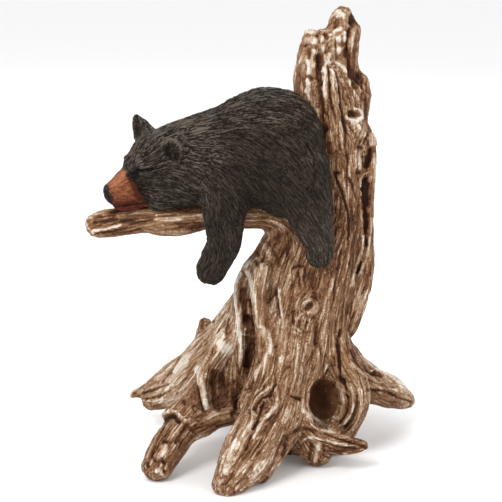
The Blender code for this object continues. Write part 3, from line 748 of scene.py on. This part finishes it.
# %% Marks on the left side
LEFT_MARKS = (
    # the left fan, the finger and the hollow beside it, with painted shade in the hollow and under the fan
    (0.9, 3.4, 0.26, ((198, 370), (202, 390), (207, 408))),
    (-1.0, 1.3, -0.55, ((197, 384), (199, 398), (203, 410))),
    (-1.2, 3.0, -0.4, ((215, 372), (214, 392), (217, 408))), (-1.2, 5.0, -0.32, ((222, 376), (224, 402))),
    (-0.8, 4.0, -0.3, ((234, 384), (236, 404))), (-1.2, 2.6, -0.4, ((238, 402), (233, 416))),
    (0.6, 1.1, 0.25, ((241, 332), (241, 364))), (0.3, 6.0, 0.28, ((221, 345), (227, 350))),
    (0.4, 1.0, 0.2, ((225, 360), (226, 392))), (0.4, 1.0, 0.18, ((233, 356), (234, 380))),
    (-0.5, 1.2, -0.5, ((228, 319), (226, 334))), (-0.6, 1.1, -0.5, ((213, 348), (211, 354))),
    (-0.5, 1.1, -0.45, ((210, 365), (209, 371))), (-0.5, 1.1, -0.4, ((180, 357), (170, 372), (162, 382))),
    (-0.6, 1.2, -0.5, ((168, 384), (155, 389), (143, 393))),
    (-0.7, 1.3, -0.6, ((170, 391), (160, 396), (146, 399))),
    (0.5, 1.1, 0.4, ((162, 399), (154, 402), (147, 401))), (-0.6, 2.4, -0.3, ((135, 394), (138, 398))),
    (0.4, 1.2, 0.3, ((131, 392), (130, 398), (136, 403))), (0.0, 3.6, -0.24, ((153, 405), (166, 408))),
    (-0.9, 1.8, -0.6, ((184, 401), (185, 404))), (0.0, 5.0, -0.22, ((195, 388), (196, 402))),
    (-0.4, 1.1, -0.3, ((196, 362), (184, 380), (176, 394))), (-0.4, 1.1, -0.3, ((205, 340), (190, 360))),
    (-0.7, 1.5, -0.5, ((211, 318), (213, 321))), (-0.6, 1.3, -0.4, ((202, 320), (201, 328))),
    # the collar and the front left root
    (1.2, 1.7, 0.28, ((161, 420), (164, 414), (170, 411), (176, 412), (181, 417), (186, 421))),
    (-1.6, 2.0, -0.7, ((163, 422), (168, 416), (174, 416), (179, 421))),
    (-1.3, 2.6, -0.5, ((187, 424), (182, 434), (177, 442))),
    (0.5, 1.4, 0.2, ((160, 430), (153, 444), (147, 456))),
    (-0.6, 1.3, -0.4, ((164, 427), (156, 441), (151, 456))), (0.3, 3.2, 0.24, ((165, 446), (160, 458))),
    (-0.9, 1.7, -0.7, ((164, 441), (167, 442))), (0.5, 1.2, 0.24, ((182, 424), (175, 433), (170, 441))),
    (-0.2, 3.8, -0.2, ((184, 442), (178, 456), (172, 466))), (-0.9, 2.0, -0.6, ((162, 460), (164, 463))),
    (-0.8, 1.8, -0.5, ((147, 464), (148, 467))), (-0.7, 1.5, -0.6, ((164, 471), (165, 473))),
    (0.2, 3.4, 0.26, ((158, 471), (163, 476))), (-0.5, 1.2, -0.5, ((153, 458), (156, 462))),
    (0.0, 5.0, -0.12, ((196, 422), (214, 424), (232, 423))), (-0.6, 2.0, -0.3, ((190, 428), (196, 434))),
    # the branch, with painted shade along its underside
    (0.5, 1.4, 0.5, ((93, 231), (105, 229), (121, 225))),
    (-0.7, 2.2, -0.4, ((94, 222), (106, 221), (117, 219))),
    (-0.5, 1.1, -0.45, ((95, 234), (110, 232), (126, 228))),
    (-0.5, 1.1, -0.35, ((120, 221), (150, 217), (176, 215))),
    (0.4, 1.2, 0.16, ((128, 230), (146, 226), (160, 222), (182, 219))),
    (-0.4, 3.6, -0.3, ((182, 227), (202, 226))), (0.5, 1.4, 0.26, ((88, 219), (98, 213), (108, 210))),
    (-0.6, 1.4, -0.4, ((110, 213), (118, 211))), (0.5, 1.2, 0.3, ((86, 222), (88, 228), (96, 235))),
    (-0.4, 1.1, -0.3, ((100, 217), (116, 215))), (-0.4, 1.1, -0.3, ((130, 224), (152, 220))),
    (-0.4, 1.2, -0.3, ((106, 236), (126, 233), (140, 229))),
)
print(len(LEFT_MARKS), "marks on the left side and the branch")

# %% [markdown]
# All of the marks are cut at once, over the grain, which is worn away beneath them. The mouth of
# the den is left smooth, and so is a narrow band at the foot, where the casting is sawn flat.

# %% Cut the marks
DEN = ((323.5, 399), (15.3, 21.3))  # middle and half widths of its dark mouth on the drawing
SLIVER = ((4.0, -46.5, 43.0), 6.5, 1.5)  # its place in the frame, reach and the height left, in mm
NEEDLE_IN_WOOD = 0.8  # how far a point may stick out, in mm

marks = SNAG_MARKS + TRUNK_MARKS + ROOT_MARKS + LEFT_MARKS
mark_tone, mark_depth = pencilled(marks, co, drawn, seen)
# the den's mouth, where painted shade takes the place of the tone
den = seen * (1 - ramp(np.linalg.norm((drawn - DEN[0]) / DEN[1], axis=1), 0.94, 1.02))
mark_tone = np.clip(mark_tone, -0.85, 0.5)
relief = relief * (1 - 0.6 * np.minimum(np.abs(mark_depth), 1)) * (1 - den) + mark_depth
foot = ramp(co[:, 2], 0.2, 4.0)
move_points(wood.data, co + stump + normal * (relief * foot)[:, None])
sanded(wood.data, NEEDLE_IN_WOOD)
trimmed(wood.data, *SLIVER)
print(len(marks), "marks, from", mark_depth.min().round(2), "to", mark_depth.max().round(2), "mm")

# %% [markdown]
# ## Painting the stump
#
# The painter brushes a dark umber stain over the whole casting and wipes it off, so that it stays
# in the furrows. Then a flat brush, nearly dry, drags cream over the ridges. Height alone decides
# where each colour sits, apart from the places the painter favours: the snags, the roots and the
# left fan are paler and the middle of the trunk is browner, while the hollows get painted shade.
# The tone of each point is worked out here, and the material turns it into colour.

# %% Tone of the stump
WASHES = (  # place, reach, and how much paler it is
    ((10, -10, 226), 17, 0.14), ((26, 0, 240), 12, 0.06), ((-66, 10, 40), 28, 0.28),
    ((-36, -4, 74), 16, 0.16), ((-28, -60, 14), 22, 0.2), ((56, 24, 26), 16, 0.1),
    ((12, -20, 118), 28, -0.06), ((34, -8, 140), 26, -0.06), ((34, -8, 90), 22, -0.04),
    ((-38, -8, 42), 10, -0.1), ((-45, -28, 22), 13, -0.1), ((-66, -26, 16), 12, 0.1),
    ((-30, -14, 112), 12, 0.1), ((-14, -30, 50), 14, -0.06), ((14, -20, 208), 9, -0.08),
    ((-60, -10, 130), 40, -0.04), ((-20, -16, 104), 12, 0.1),
)
PLAIN_TONE = 0.64
PASS_TONES = (0.035, 0.03, 0.02)  # how much paler the crests of each pass are
MARK_TONE = 0.88
DEN_TONES = (0.19, 0.24)  # the wall in the dark, and how much paler it is in the light
PATH = 7.0  # how far the path along the grain is followed to each side


def grain_path(points):
    """The path through each point as a curve, point + run * t + bend * t * t for t from -1 to 1."""
    ends = []
    for way in (1, -1):
        place = points.copy()
        for step in range(int(PATH)):
            place = place + way * round_the_knots(place, heading_at(grain_map, place))
        ends.append(place - points)
    ahead, behind = ends
    return (ahead - behind) / 2, (ahead + behind) / 2


# the marks' tone is the painter's colour, with painted shade in hollows and under overhangs and a painted
# highlight on ridges
tone = PLAIN_TONE + MARK_TONE * mark_tone
for strength, crest in zip(PASS_TONES, passes):
    tone += strength * crest
for place, reach, paler in WASHES:
    tone += paler * fading(co, place, reach)
tone += 0.08 * speckle(co / 15, 61) + 0.04 * speckle(co / 5, 62) + rough * 0.3 * crumple
# in the den's mouth the tone is painted shade, dark on its left and paler on its lit right wall
wall = ramp(drawn[:, 0] - 0.3 * (drawn[:, 1] - DEN[0][1]), 322, 338)  # the den's right side is lit
tone = tone * (1 - den) + (DEN_TONES[0] + DEN_TONES[1] * wall + 0.07 * speckle(co / 4, 63)) * den
keep_values(wood.data, "tone", tone)
keep_values(wood.data, "strand_seams", seam_noise[1])
keep_values(wood.data, "thread_seams", seam_noise[2])
streaks = (0.4 + 0.6 * np.clip(worn, 0, 1)) * (1 - den) * (1 - 0.5 * np.minimum(np.abs(mark_tone) / 0.5, 1))
keep_values(wood.data, "streaks", streaks * (1 - 0.35 * np.minimum(rough, 1)))
run, bend = grain_path(co)
keep_directions(wood.data, "run", run * MM)
keep_directions(wood.data, "bend", bend * MM)
print("tone from", tone.min().round(2), "to", tone.max().round(2))

# %% [markdown]
# ## Materials from nodes
#
# Both paints are built the same way: the stored tone, broken up by fine streaks and specks, runs
# through a colour ramp. The thinnest streaks are the same combed noise as before, this time made
# by the material: it samples a noise at many places along the stored path and averages them. The
# wider seams are stored as the noise itself, and the material draws the thin line where it passes
# through zero. So the lines are as sharp as the picture, not as the net. A few helpers keep the
# node trees readable.

# %% Node helpers
ROOM_LIGHT = 1.3  # how much brighter the front is lit than white paper would need
NOISE_GAIN = 6.8  # about one over the spread of a single noise node


def linear(colour):
    """A paint, given as the screen values from 0 to 255 that it shows in this light."""
    values = np.array(colour) / 255
    return np.where(values > 0.04045, ((values + 0.055) / 1.055) ** 2.4, values / 12.92) / ROOM_LIGHT


class Paint:
    """A Principled material whose nodes are added one by one."""

    def __init__(self, name, roughness, gloss):
        self.material = bpy.data.materials.new(name)
        self.material.use_nodes = True
        self.nodes = self.material.node_tree.nodes
        self.shader = self.nodes["Principled BSDF"]
        self.shader.inputs["Roughness"].default_value = roughness
        self.shader.inputs["Specular IOR Level"].default_value = gloss
        self.place = self.nodes.new("ShaderNodeTexCoord").outputs["Object"]

    def link(self, output, socket):
        self.material.node_tree.links.new(output, socket)

    def stored(self, name, output="Fac"):
        """A number, or with the output Vector an arrow, that was stored for each point."""
        node = self.nodes.new("ShaderNodeAttribute")
        node.attribute_name = name
        return node.outputs[output]

    def maths(self, operation, *values):
        """One Math node; a value is a number or another node's output."""
        node = self.nodes.new("ShaderNodeMath")
        node.operation = operation
        for socket, value in zip(node.inputs, values):
            if isinstance(value, (int, float)):
                socket.default_value = value
            else:
                self.link(value, socket)
        return node.outputs[0]

    def noise(self, size, detail, place=None):
        """Noise of a size in millimetres, about 0.5."""
        node = self.nodes.new("ShaderNodeTexNoise")
        node.inputs["Scale"].default_value = 1 / (size * MM)
        node.inputs["Detail"].default_value = detail
        self.link(place or self.place, node.inputs["Vector"])
        return node.outputs["Fac"]

    def shifted(self, vector, share, place):
        """A place moved by a share of an arrow."""
        node = self.nodes.new("ShaderNodeVectorMath")
        node.operation = "MULTIPLY_ADD"
        self.link(vector, node.inputs[0])
        node.inputs[1].default_value = (float(share),) * 3
        self.link(place, node.inputs[2])
        return node.outputs[0]

    def streaks(self, size, samples, run, bend=None):
        """Noise drawn out along the stored path, about 0, with a spread of about 1."""
        total = None
        for share in np.linspace(-1, 1, samples):
            place = self.shifted(run, share, self.place)
            if bend:
                place = self.shifted(bend, share**2, place)
            sample = self.noise(size, 0, place)
            total = self.maths("ADD", total, sample) if total else sample
        centred = self.maths("SUBTRACT", total, samples * 0.5)
        return self.maths("MULTIPLY", centred, NOISE_GAIN / samples**0.5)

    def seam(self, value, sharpness):
        """1 where a value passes through zero, falling off to both sides."""
        squared = self.maths("MULTIPLY", value, value)
        return self.maths("POWER", 0.5, self.maths("MULTIPLY", squared, sharpness))

    def colours(self, value, stops):
        """A ramp of colours; a stop is its position and its colour."""
        node = self.nodes.new("ShaderNodeValToRGB")
        ramp_stops = node.color_ramp.elements
        while len(ramp_stops) < len(stops):
            ramp_stops.new(0.5)
        for stop, (at, colour) in zip(ramp_stops, stops):
            stop.position = at
            stop.color = (*linear(colour), 1)
        self.link(value, node.inputs["Fac"])
        return node.outputs["Color"]

    def mix(self, share, under, over):
        """One colour over another, where the share is 1."""
        node = self.nodes.new("ShaderNodeMix")
        node.data_type = "RGBA"
        self.link(share, node.inputs[0])
        self.link(under, node.inputs[6])
        self.link(over, node.inputs[7])
        return node.outputs[2]

    def bump(self, height, depth, strength):
        """Lets the light catch lines that are finer than the net; the depth is in millimetres."""
        node = self.nodes.new("ShaderNodeBump")
        node.inputs["Distance"].default_value = depth * MM
        node.inputs["Strength"].default_value = strength
        self.link(height, node.inputs["Height"])
        self.link(node.outputs["Normal"], self.shader.inputs["Normal"])

    def finish(self, colour):
        self.link(colour, self.shader.inputs["Base Color"])
        return self.material


print("a paint that shows as mid grey reflects", linear((128,) * 3).round(3))

# %% [markdown]
# The stain, the dry brush and the painted shade are one ramp: umber, three browns, tan and cream.
# The dark lines sit in the same seams as the furrows of the carving, with finer ones between them:
# the stain that stays there, deepened as painted shade. Small flecks of cream are left where the
# brush touched a bump.

# %% Stump paint
STUMP_COLOURS = (
    (0.02, (44, 24, 14)), (0.22, (80, 47, 27)), (0.42, (124, 86, 58)),
    (0.58, (156, 120, 90)), (0.74, (194, 167, 141)), (0.92, (236, 226, 212)),
)
FINE = (1.0, 17)  # size in millimetres, and samples along the path
BROAD = (1.9, 9)  # with many more samples in one material the renderer runs out of room, and it turns black
stain = Paint("stained_brushed_and_shaded", 0.6, 0.12)
path = stain.stored("run", "Vector"), stain.stored("bend", "Vector")
fine = stain.streaks(*FINE, *path)
broad = stain.streaks(*BROAD, *path)
# dark lines in the furrows: the stain, made darker still as painted shade
dark_lines = (  # the lines, how sharp they are, and how dark
    (stain.stored("strand_seams"), 26.0, -0.15),
    (stain.stored("thread_seams"), 11.0, -0.1),
    (broad, 12.0, -0.17),
    (fine, 8.0, -0.15),
)
brushed = stain.maths("MULTIPLY_ADD", broad, 0.05, stain.maths("MULTIPLY", fine, 0.055))
height = stain.maths("MULTIPLY", fine, 0.1)
for lines, sharpness, darkness in dark_lines:
    seam = stain.seam(lines, sharpness)
    brushed = stain.maths("MULTIPLY_ADD", seam, darkness, brushed)
    height = stain.maths("MULTIPLY_ADD", seam, 4 * darkness, height)
shade = stain.maths("MULTIPLY_ADD", brushed, stain.stored("streaks"), stain.stored("tone"))
shade = stain.maths("ADD", shade, stain.maths("MULTIPLY_ADD", stain.noise(0.9, 3), 0.2, -0.12))  # specks
flecks = stain.maths("MAXIMUM", stain.maths("SUBTRACT", stain.noise(2.2, 4), 0.59), 0.0)
shade = stain.maths("MULTIPLY_ADD", flecks, 1.5, shade)
stain.bump(height, 0.25, 0.7)
wood.data.materials.clear()
wood.data.materials.append(stain.finish(stain.colours(shade, STUMP_COLOURS)))
print("stump paint has", len(stain.nodes), "nodes")

# %% [markdown]
# ## The lie of the coat
#
# Fur on a bear grows away from the nose: back over the brow and cheeks, along the spine, down the
# flanks and down the legs. The sculptor follows that with every stroke. A few arrows say how it
# lies; the far side of the body takes the same arrows, mirrored across the spine.

# %% Guide strokes of the coat
ARROW = 5.0  # its length, which is the same for all
BODY_REACH = 9.0  # how wide a strip each arrow speaks for
HEAD_REACH = 7.0
COAT_SHARPNESS = 1.6
SPINE_Y = -8
BODY_ARROWS = (  # x, y, z of a place, and a heading
    ((-66, -20, 188), (1, 0, 0.25)), ((-45, -25, 188), (1, 0, 0.12)), ((-20, -25, 202), (1, 0, 0)),
    ((0, -25, 198), (1, 0, -0.35)), ((15, -25, 190), (0.6, 0, -0.8)), ((-55, -30, 176), (1, 0, -0.2)),
    ((-35, -35, 178), (1, 0, -0.42)), ((-15, -36, 180), (0.85, 0, -0.55)), ((5, -36, 178), (0.6, 0, -0.8)),
    ((18, -30, 168), (0.3, 0, -1)), ((-54, -30, 160), (0.9, 0, -0.45)), ((-35, -34, 162), (0.7, 0, -0.8)),
    ((-18, -34, 160), (0.7, 0, -0.85)), ((-4, -36, 158), (0.75, 0, -0.8)), ((12, -36, 148), (0.5, 0, -0.9)),
    ((10, -34, 135), (0.5, 0, -1)), ((12, -32, 124), (0.25, 0, -1)), ((-47, -36, 148), (0, 0, -1)),
    ((-33, -34, 148), (0.5, 0, -1)), ((-40, -33, 130), (0.15, 0, -1)), ((-46, -33, 114), (-0.5, 0, -1)),
    ((-24, -30, 147), (0.9, 0, -0.6)),
)
HEAD_ARROWS = (  # forward, near side and up from the middle of the head, and a heading in the same terms
    ((30, 0, 0), (-1, 0, 0.1)), ((28, 8, -7), (-1, 0, 0)), ((18, 0, 13), (-1, 0, 0.7)),
    ((8, 0, 20), (-1, 0, 0.3)),
    ((16, 9, 9), (-1, 0.4, 0.5)), ((14, 14, 2), (-1, 0.3, 0)), ((4, 18, -2), (-1, 0, -0.25)),
    ((12, 13, -8), (-1, 0.2, -0.2)), ((0, 16, -14), (-1, 0, 0)), ((4, 14, 12), (-1, 0.5, 0.3)),
    ((-10, 18, 8), (-1, 0, 0)), ((1, 18, 24), (-0.3, 0.1, 1)), ((-2, 25, 18), (-0.4, 1, 0.2)),
    ((0, -14, 20), (-0.4, -0.3, 1)), ((12, -13, 4), (-1, -0.3, 0.1)), ((4, -17, -6), (-1, 0, -0.2)),
)
HEAD_MIDDLE = np.array((-73.0, -4.0, 163.0))
HEAD_AXES = (Matrix.Rotation(math.radians(30), 3, "Z") @ Matrix.Rotation(math.radians(-8), 3, "Y")
             @ Matrix.Rotation(math.radians(8), 3, "X"))
TO_HEAD = np.array(HEAD_AXES) * np.array((-1, -1, 1))  # columns are forward, near side and up

fur_guides = []
for (x, y, z), (dx, dy, dz) in BODY_ARROWS:
    for side in (1, -1):
        place = np.array((x, SPINE_Y + side * (y - SPINE_Y), z), float)
        heading = np.array((dx, side * dy, dz)) / np.linalg.norm((dx, dy, dz))
        fur_guides.append((place, place + ARROW * heading, BODY_REACH, BODY_REACH))
for place, heading in HEAD_ARROWS:
    place = HEAD_MIDDLE + TO_HEAD @ np.array(place, float)
    heading = TO_HEAD @ np.array(heading, float)
    heading /= np.linalg.norm(heading)
    fur_guides.append((place, place + ARROW * heading, HEAD_REACH, HEAD_REACH))

fur_co, fur_normal = points_and_normals(bear.data)
fur_co -= stump
fur_map = direction_map(fur_guides, fur_co.min(axis=0), fur_co.max(axis=0), COAT_SHARPNESS)
lie = heading_at(fur_map, fur_co)
lie = unit(lie - (lie * fur_normal).sum(axis=1, keepdims=True) * fur_normal)
print("coat map:", fur_map[1].shape[:3], "cubes from", len(fur_guides), "arrows")

# %% [markdown]
# ## Tooling the coat
#
# Each stroke is a short furrow, some 7 mm long and 2 mm from the next, and wider tufts lie under
# them. Hair particles could be grown on the body, but the coat of a casting is cut into it, so the
# strokes are carved like the grain. The noise is averaged along a straight line through each point
# this time, because a stroke is too short to bend.

# %% Strokes of the coat
STROKES = ((0.8, 3.4, 0.62), (2.1, 5.0, 0.36))  # pitch, reach and depth of the strokes and the tufts
STROKE_SAMPLES = 13


def stroked(points, lie, pitch, reach, seed):
    """Noise of one pitch, drawn out along a straight line through each point."""
    total = np.zeros(len(points))
    for share in np.linspace(-1, 1, STROKE_SAMPLES):
        total += speckle((points + share * reach * lie) / pitch, seed)
    return evened(total)


fur_relief = np.zeros(len(fur_co))
sway = 0.5 * np.stack([speckle(fur_co / 6, 80 + k) for k in range(3)], axis=1)
furrows = []
for number, (pitch, reach, depth) in enumerate(STROKES):
    lines = stroked(fur_co + sway, lie, pitch, reach, 90 + number)
    furrows.append(lines)
    fur_relief += depth * (np.minimum(np.abs(lines) / CREST, 1.2) ** 0.7 - 0.7)
print("strokes from", fur_relief.min().round(2), "to", fur_relief.max().round(2), "mm")

# %% [markdown]
# ## The face
#
# The features are small shapes in the head's own directions, forward, to the side and up from its
# middle: the muzzle ends at a sloping line, the nose is an egg, and the mouth, the closed eye
# under its lid and the nostrils are thin lines. They could be cut into the net with a knife tool,
# but as numbers for each point they can be carved and painted from the same source. The side is
# taken without its sign, so one set of lines makes both halves of the face.

# %% Features of the face
MOUTH = ((33, 1.5, -11.8), (29, 5, -12), (25, 6.4, -12.3), (20, 7.4, -12.6), (16.2, 7.9, -13.2))
EYE = ((23.2, 4.2, 4.4), (21.2, 6.2, 6), (18.6, 8, 7.4))
LID = ((22.6, 3.6, 6.2), (20.6, 5.2, 7.9), (18.2, 7, 9.2))
NOSTRIL = ((36, 2.0, -6.4), (35.2, 3.4, -6.2))
EAR_RIM = (
    (3.2, 13.0, 19.5), (3.2, 15.4, 23.0), (2.8, 19.0, 24.2), (1.6, 23.0, 22.0), (0.6, 25.2, 17.6),
    (1.2, 23.6, 12.2),
)
NOSE = ((35.6, 0, -4.4), (2.6, 4.0, 3.5))  # middle and half sizes of an egg, as in the next two
SOCKET = ((21, 6.5, 4.6), (4.4, 3.6, 4.0))
EAR_CUP = ((4.2, 18.6, 16.6), (3.4, 5.2, 5.6))
MUZZLE_EDGE = 22.8  # how far forward of the head's middle it starts
MUZZLE_SLOPE = 0.41  # how far that edge runs back for each millimetre down


def near_line(points, stations, width):
    """1 on a run of stations, falling to 0 past its width."""
    return np.exp(-((away_from(points, stations) / width) ** 2))


def in_egg(points, egg):
    """The distance from an egg's middle, 1 on its shell."""
    middle, radii = egg
    return np.linalg.norm((points - np.array(middle, float)) / np.array(radii, float), axis=1)


local = (fur_co - HEAD_MIDDLE) @ TO_HEAD
forward, side, up = local[:, 0], np.abs(local[:, 1]), local[:, 2]
both_sides = np.stack([forward, side, up], axis=1)
near_head = 1 - ramp(distance(fur_co, HEAD_MIDDLE), 34, 50)
muzzle_edge = MUZZLE_EDGE - MUZZLE_SLOPE * np.maximum(3 - up, 0)
muzzle = near_head * ramp(forward - muzzle_edge + 0.9 * speckle(fur_co / 1.5, 71), -1.1, 1.1)
nose = 1 - ramp(in_egg(local, NOSE), 0.9, 1.1)
mouth = near_line(both_sides, MOUTH, 0.7)
eye = near_line(both_sides, EYE, 0.75)
lid = near_line(both_sides, LID, 1.2)
nostril = near_line(both_sides, NOSTRIL, 0.8)
socket = 1 - ramp(in_egg(both_sides, SOCKET), 0.7, 1.25)
ear_rim = near_line(local, EAR_RIM, 1.3)
ear_cup = 1 - ramp(in_egg(local, EAR_CUP), 0.6, 1.1)
print("points on the muzzle:", int((muzzle > 0.5).sum()), "and on the nose:", int((nose > 0.5).sum()))

# %% [markdown]
# What shows from the front is pencilled on the front drawing too, with the same kind of marks as
# on the stump: the rim and cup of the near ear, with a painted highlight along the rim and painted
# shade in the cup, the brow, the shut eye, the pale bridge of the muzzle, a painted highlight on
# the nose pad, and in black the nose and the line of the mouth.

# %% Marks on the face
FACE_MARKS = (  # raised in mm, half width in dots, paler, and the stations
    # the near ear: a painted highlight on its raised rim, painted shade in its cup, and the flecks below
    (1.3, 1.6, 0.36, ((162, 149), (164, 144.5), (168, 141.8), (172, 141), (176, 142), (179, 144.5),
     (181, 148.5))),
    (1.2, 1.6, 0.2, ((181, 148.5), (181.6, 153), (180.8, 158), (178.8, 163), (176, 166))),
    (0.0, 1.1, 0.34, ((170, 140.8), (175, 141.8), (178.5, 145))),
    (-1.5, 5.0, 0.0, ((170, 150), (173, 155))), (0.0, 3.0, -0.28, ((165, 149), (168, 156))),
    (0.4, 1.0, 0.3, ((166, 156), (171, 161))), (-0.6, 1.2, -0.4, ((173, 154), (176, 160))),
    # the far ear
    (0.4, 1.0, 0.2, ((133.5, 122), (133.5, 128), (134.5, 138))),
    (-0.6, 2.2, -0.25, ((137, 124), (138.5, 134))), (0.3, 1.3, 0.25, ((144, 125), (149, 134))),
    (-0.4, 1.4, -0.25, ((148, 127), (151, 133))),
    # the brow, the closed eye and the dark fur behind the muzzle
    (0.7, 3.4, 0.22, ((138, 157), (140, 163), (142, 166))),
    (-1.0, 1.2, -0.6, ((133, 173), (137, 170.5), (143, 170.2), (152, 169))),
    (0.5, 1.3, 0.36, ((141, 173), (146, 174.5))), (0.3, 1.2, 0.25, ((139, 180), (144, 183))),
    (-0.3, 3.0, -0.4, ((129, 173.5), (135, 176))), (0.0, 4.6, -0.3, ((140, 184), (146, 199))),
    # the muzzle, pale on its bridge and deep red at its root and below, and a painted highlight on the nose
    # pad
    (0.0, 5.5, 0.22, ((113, 184), (119, 178), (125, 173))), (0.0, 4.0, 0.1, ((118, 193), (128, 192))),
    (0.0, 3.4, -0.36, ((131, 177), (136, 187), (140, 198))),
    (0.0, 2.4, -0.22, ((113, 205), (124, 204), (136, 202))), (0.0, 1.2, 0.4, ((104.5, 187), (107, 189))),
)
NOSE_MARKS = (  # the pad, the dark front of the lip and the mouth, with how black they are
    (0.3, 2.4, 1.0, ((106, 187), (107, 189))), (0.0, 1.6, 0.9, ((107, 190), (108.5, 198), (111, 204))),
    (-0.4, 2.3, 0.8, ((111, 198), (112, 201))),
    (-0.7, 0.8, 0.8, ((117, 207.3), (130, 205.4), (144, 203.3))),
)
fur_drawn = front_drawing((fur_co + stump) * MM)
fur_seen = seen_in_front(bear.data)
face_tone, face_depth = pencilled(FACE_MARKS, fur_co, fur_drawn, fur_seen)
nose_ink, nose_depth = pencilled(NOSE_MARKS, fur_co, fur_drawn, fur_seen)
print(len(FACE_MARKS) + len(NOSE_MARKS), "marks on the face, points seen:", int(fur_seen.sum()))

# %% [markdown]
# Now the coat and the face are carved together. The strokes are shallow on the muzzle and the
# ears, fade out under the marks, and leave the nose smooth. The mouth and the rim of the ear are
# cut along the head's own lines only where the front marks don't reach.

# %% Carve the coat
NEEDLE_IN_COAT = 0.5  # how far a point may stick out, in mm

calm = (1 - 0.72 * muzzle) * (1 - nose) * (1 - 0.5 * ear_cup)
featured = np.minimum(np.abs(face_depth), 1)
ears = near_head * ramp(up, 13, 18)
fur_relief *= calm * (1 - 0.85 * featured) * (1 - 0.5 * ears)
mouth *= 1 - fur_seen
fur_relief += face_depth + nose_depth + (1 - fur_seen) * (1.5 * ear_rim - 1.4 * ear_cup)
fur_relief += 0.4 * lid - 0.8 * mouth - 0.5 * eye - 0.9 * nostril - 0.4 * socket
move_points(bear.data, fur_co + stump + fur_normal * fur_relief[:, None])
sanded(bear.data, NEEDLE_IN_COAT)
print("coat relief from", fur_relief.min().round(2), "to", fur_relief.max().round(2), "mm")

# %% [markdown]
# The paint follows the carving, so what it needs is stored with the net: the strokes and tufts as
# noise, how hard the tips were rubbed, with a painted top light that is strongest on what faces up,
# how pale each place is, that painted light included, and where the muzzle, the lower lip and the
# black are.

# %% Tone of the coat
HAIR = 3.2  # half the length of the hair lines, which only the paint shows
COAT_WASHES = (((12, -36, 130), 18, 0.28), ((-38, -34, 122), 14, 0.08))  # place, reach, how much paler

ink = np.clip(nose + nose_ink + 0.9 * mouth + 0.7 * eye + 0.6 * socket * (1 - 0.7 * lid), 0, 1)
# painted top light: highest on what faces up and on the head, it makes the coat paler and its rubbed tips
# brighter there
lit_fur = ramp(fur_normal[:, 2], -0.1, 0.9) + 0.6 * near_head * (1 - muzzle)
rubbed_and_top_lit = (0.95 + 0.85 * lit_fur) * (1 - 0.6 * muzzle) * (1 - 0.5 * featured) * (1 - 0.8 * ink)
paler = 0.06 * lit_fur + 0.03 * near_head * (1 - muzzle) + 0.02 * muzzle + face_tone
for place, reach, change in COAT_WASHES:
    paler += change * fading(fur_co, place, reach)
keep_values(bear.data, "strokes", furrows[0])
keep_values(bear.data, "tufts", furrows[1])
keep_values(bear.data, "rubbed_and_top_lit", rubbed_and_top_lit)
keep_values(bear.data, "paler", paler)
keep_values(bear.data, "muzzle", np.clip(muzzle, 0, 1))
keep_values(bear.data, "ink", ink)
keep_values(bear.data, "lip", near_head * muzzle * ramp(-up, 12.0, 13.0))
keep_directions(bear.data, "run", lie * HAIR * MM)
print("rubbed from", rubbed_and_top_lit.min().round(2), "to", rubbed_and_top_lit.max().round(2))

# %% [markdown]
# ## Painting the bear
#
# The coat is charcoal, a little warm, with an olive grey rubbed over the tips of the strokes, which
# a painted top light makes brighter on what faces up. The muzzle is a rust wash that lets its
# strokes show, redder on the lower lip, and the nose, the mouth line and the closed eye are black.
# Four materials on parts of the net would leave a hard edge where they meet, so one material mixes
# four ramps by the stored masks.

# %% Bear paint
COAT_COLOURS = ((0.08, (22, 15, 10)), (0.42, (46, 37, 29)), (0.68, (62, 53, 44)), (0.95, (96, 88, 78)))
RUST = ((0.15, (78, 34, 18)), (0.5, (134, 78, 52)), (0.85, (178, 114, 82)))
LIP_RED = ((0.2, (66, 20, 10)), (0.8, (124, 62, 46)))
BLACK = ((0.2, (18, 15, 14)), (0.8, (58, 54, 48)))
HAIR_LINES = (1.25, 13)  # size in millimetres, and samples along the run

coat = Paint("charcoal_coat", 0.5, 0.1)
hairs = coat.streaks(*HAIR_LINES, coat.stored("run", "Vector"))
strokes = coat.stored("strokes")
dark_hairs = ((hairs, 6.0, -0.22), (strokes, 8.0, -0.14), (coat.stored("tufts"), 10.0, -0.05))
brushed = coat.maths("MULTIPLY", coat.maths("MINIMUM", coat.maths("ABSOLUTE", hairs), 1.5), 0.16)
brushed = coat.maths("MULTIPLY_ADD", coat.maths("ABSOLUTE", strokes), 0.04, brushed)
for lines, sharpness, darkness in dark_hairs:
    brushed = coat.maths("MULTIPLY_ADD", coat.seam(lines, sharpness), darkness, brushed)
# tips: the rubbed olive grey, brighter where the painted top light falls, on the stored paleness
tips = coat.maths("MULTIPLY_ADD", brushed, coat.stored("rubbed_and_top_lit"), coat.stored("paler"))
tips = coat.maths("ADD", tips, coat.maths("MULTIPLY_ADD", coat.noise(8, 2), 0.3, 0.19))
charcoal = coat.colours(tips, COAT_COLOURS)
mottled = coat.maths("ADD", tips, coat.maths("MULTIPLY_ADD", coat.noise(1.3, 3), 0.6, -0.3))
rust = coat.colours(mottled, RUST)
skin = coat.mix(coat.stored("muzzle"), charcoal, rust)
skin = coat.mix(coat.stored("lip"), skin, coat.colours(tips, LIP_RED))
skin = coat.mix(coat.stored("ink"), skin, coat.colours(tips, BLACK))
coat.bump(brushed, 1.2, 0.7)
bear.data.materials.clear()
bear.data.materials.append(coat.finish(skin))
print("bear paint has", len(coat.nodes), "nodes")

# %% [markdown]
# ## Finish
#
# Both castings take the place of the plain ones, which are hidden, and hang from the root body.

# %% Finish
for piece, node in ((wood, "driftwood"), (bear, "bear")):
    piece.data.shade_smooth()
    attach(piece, "root")
    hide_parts(node)
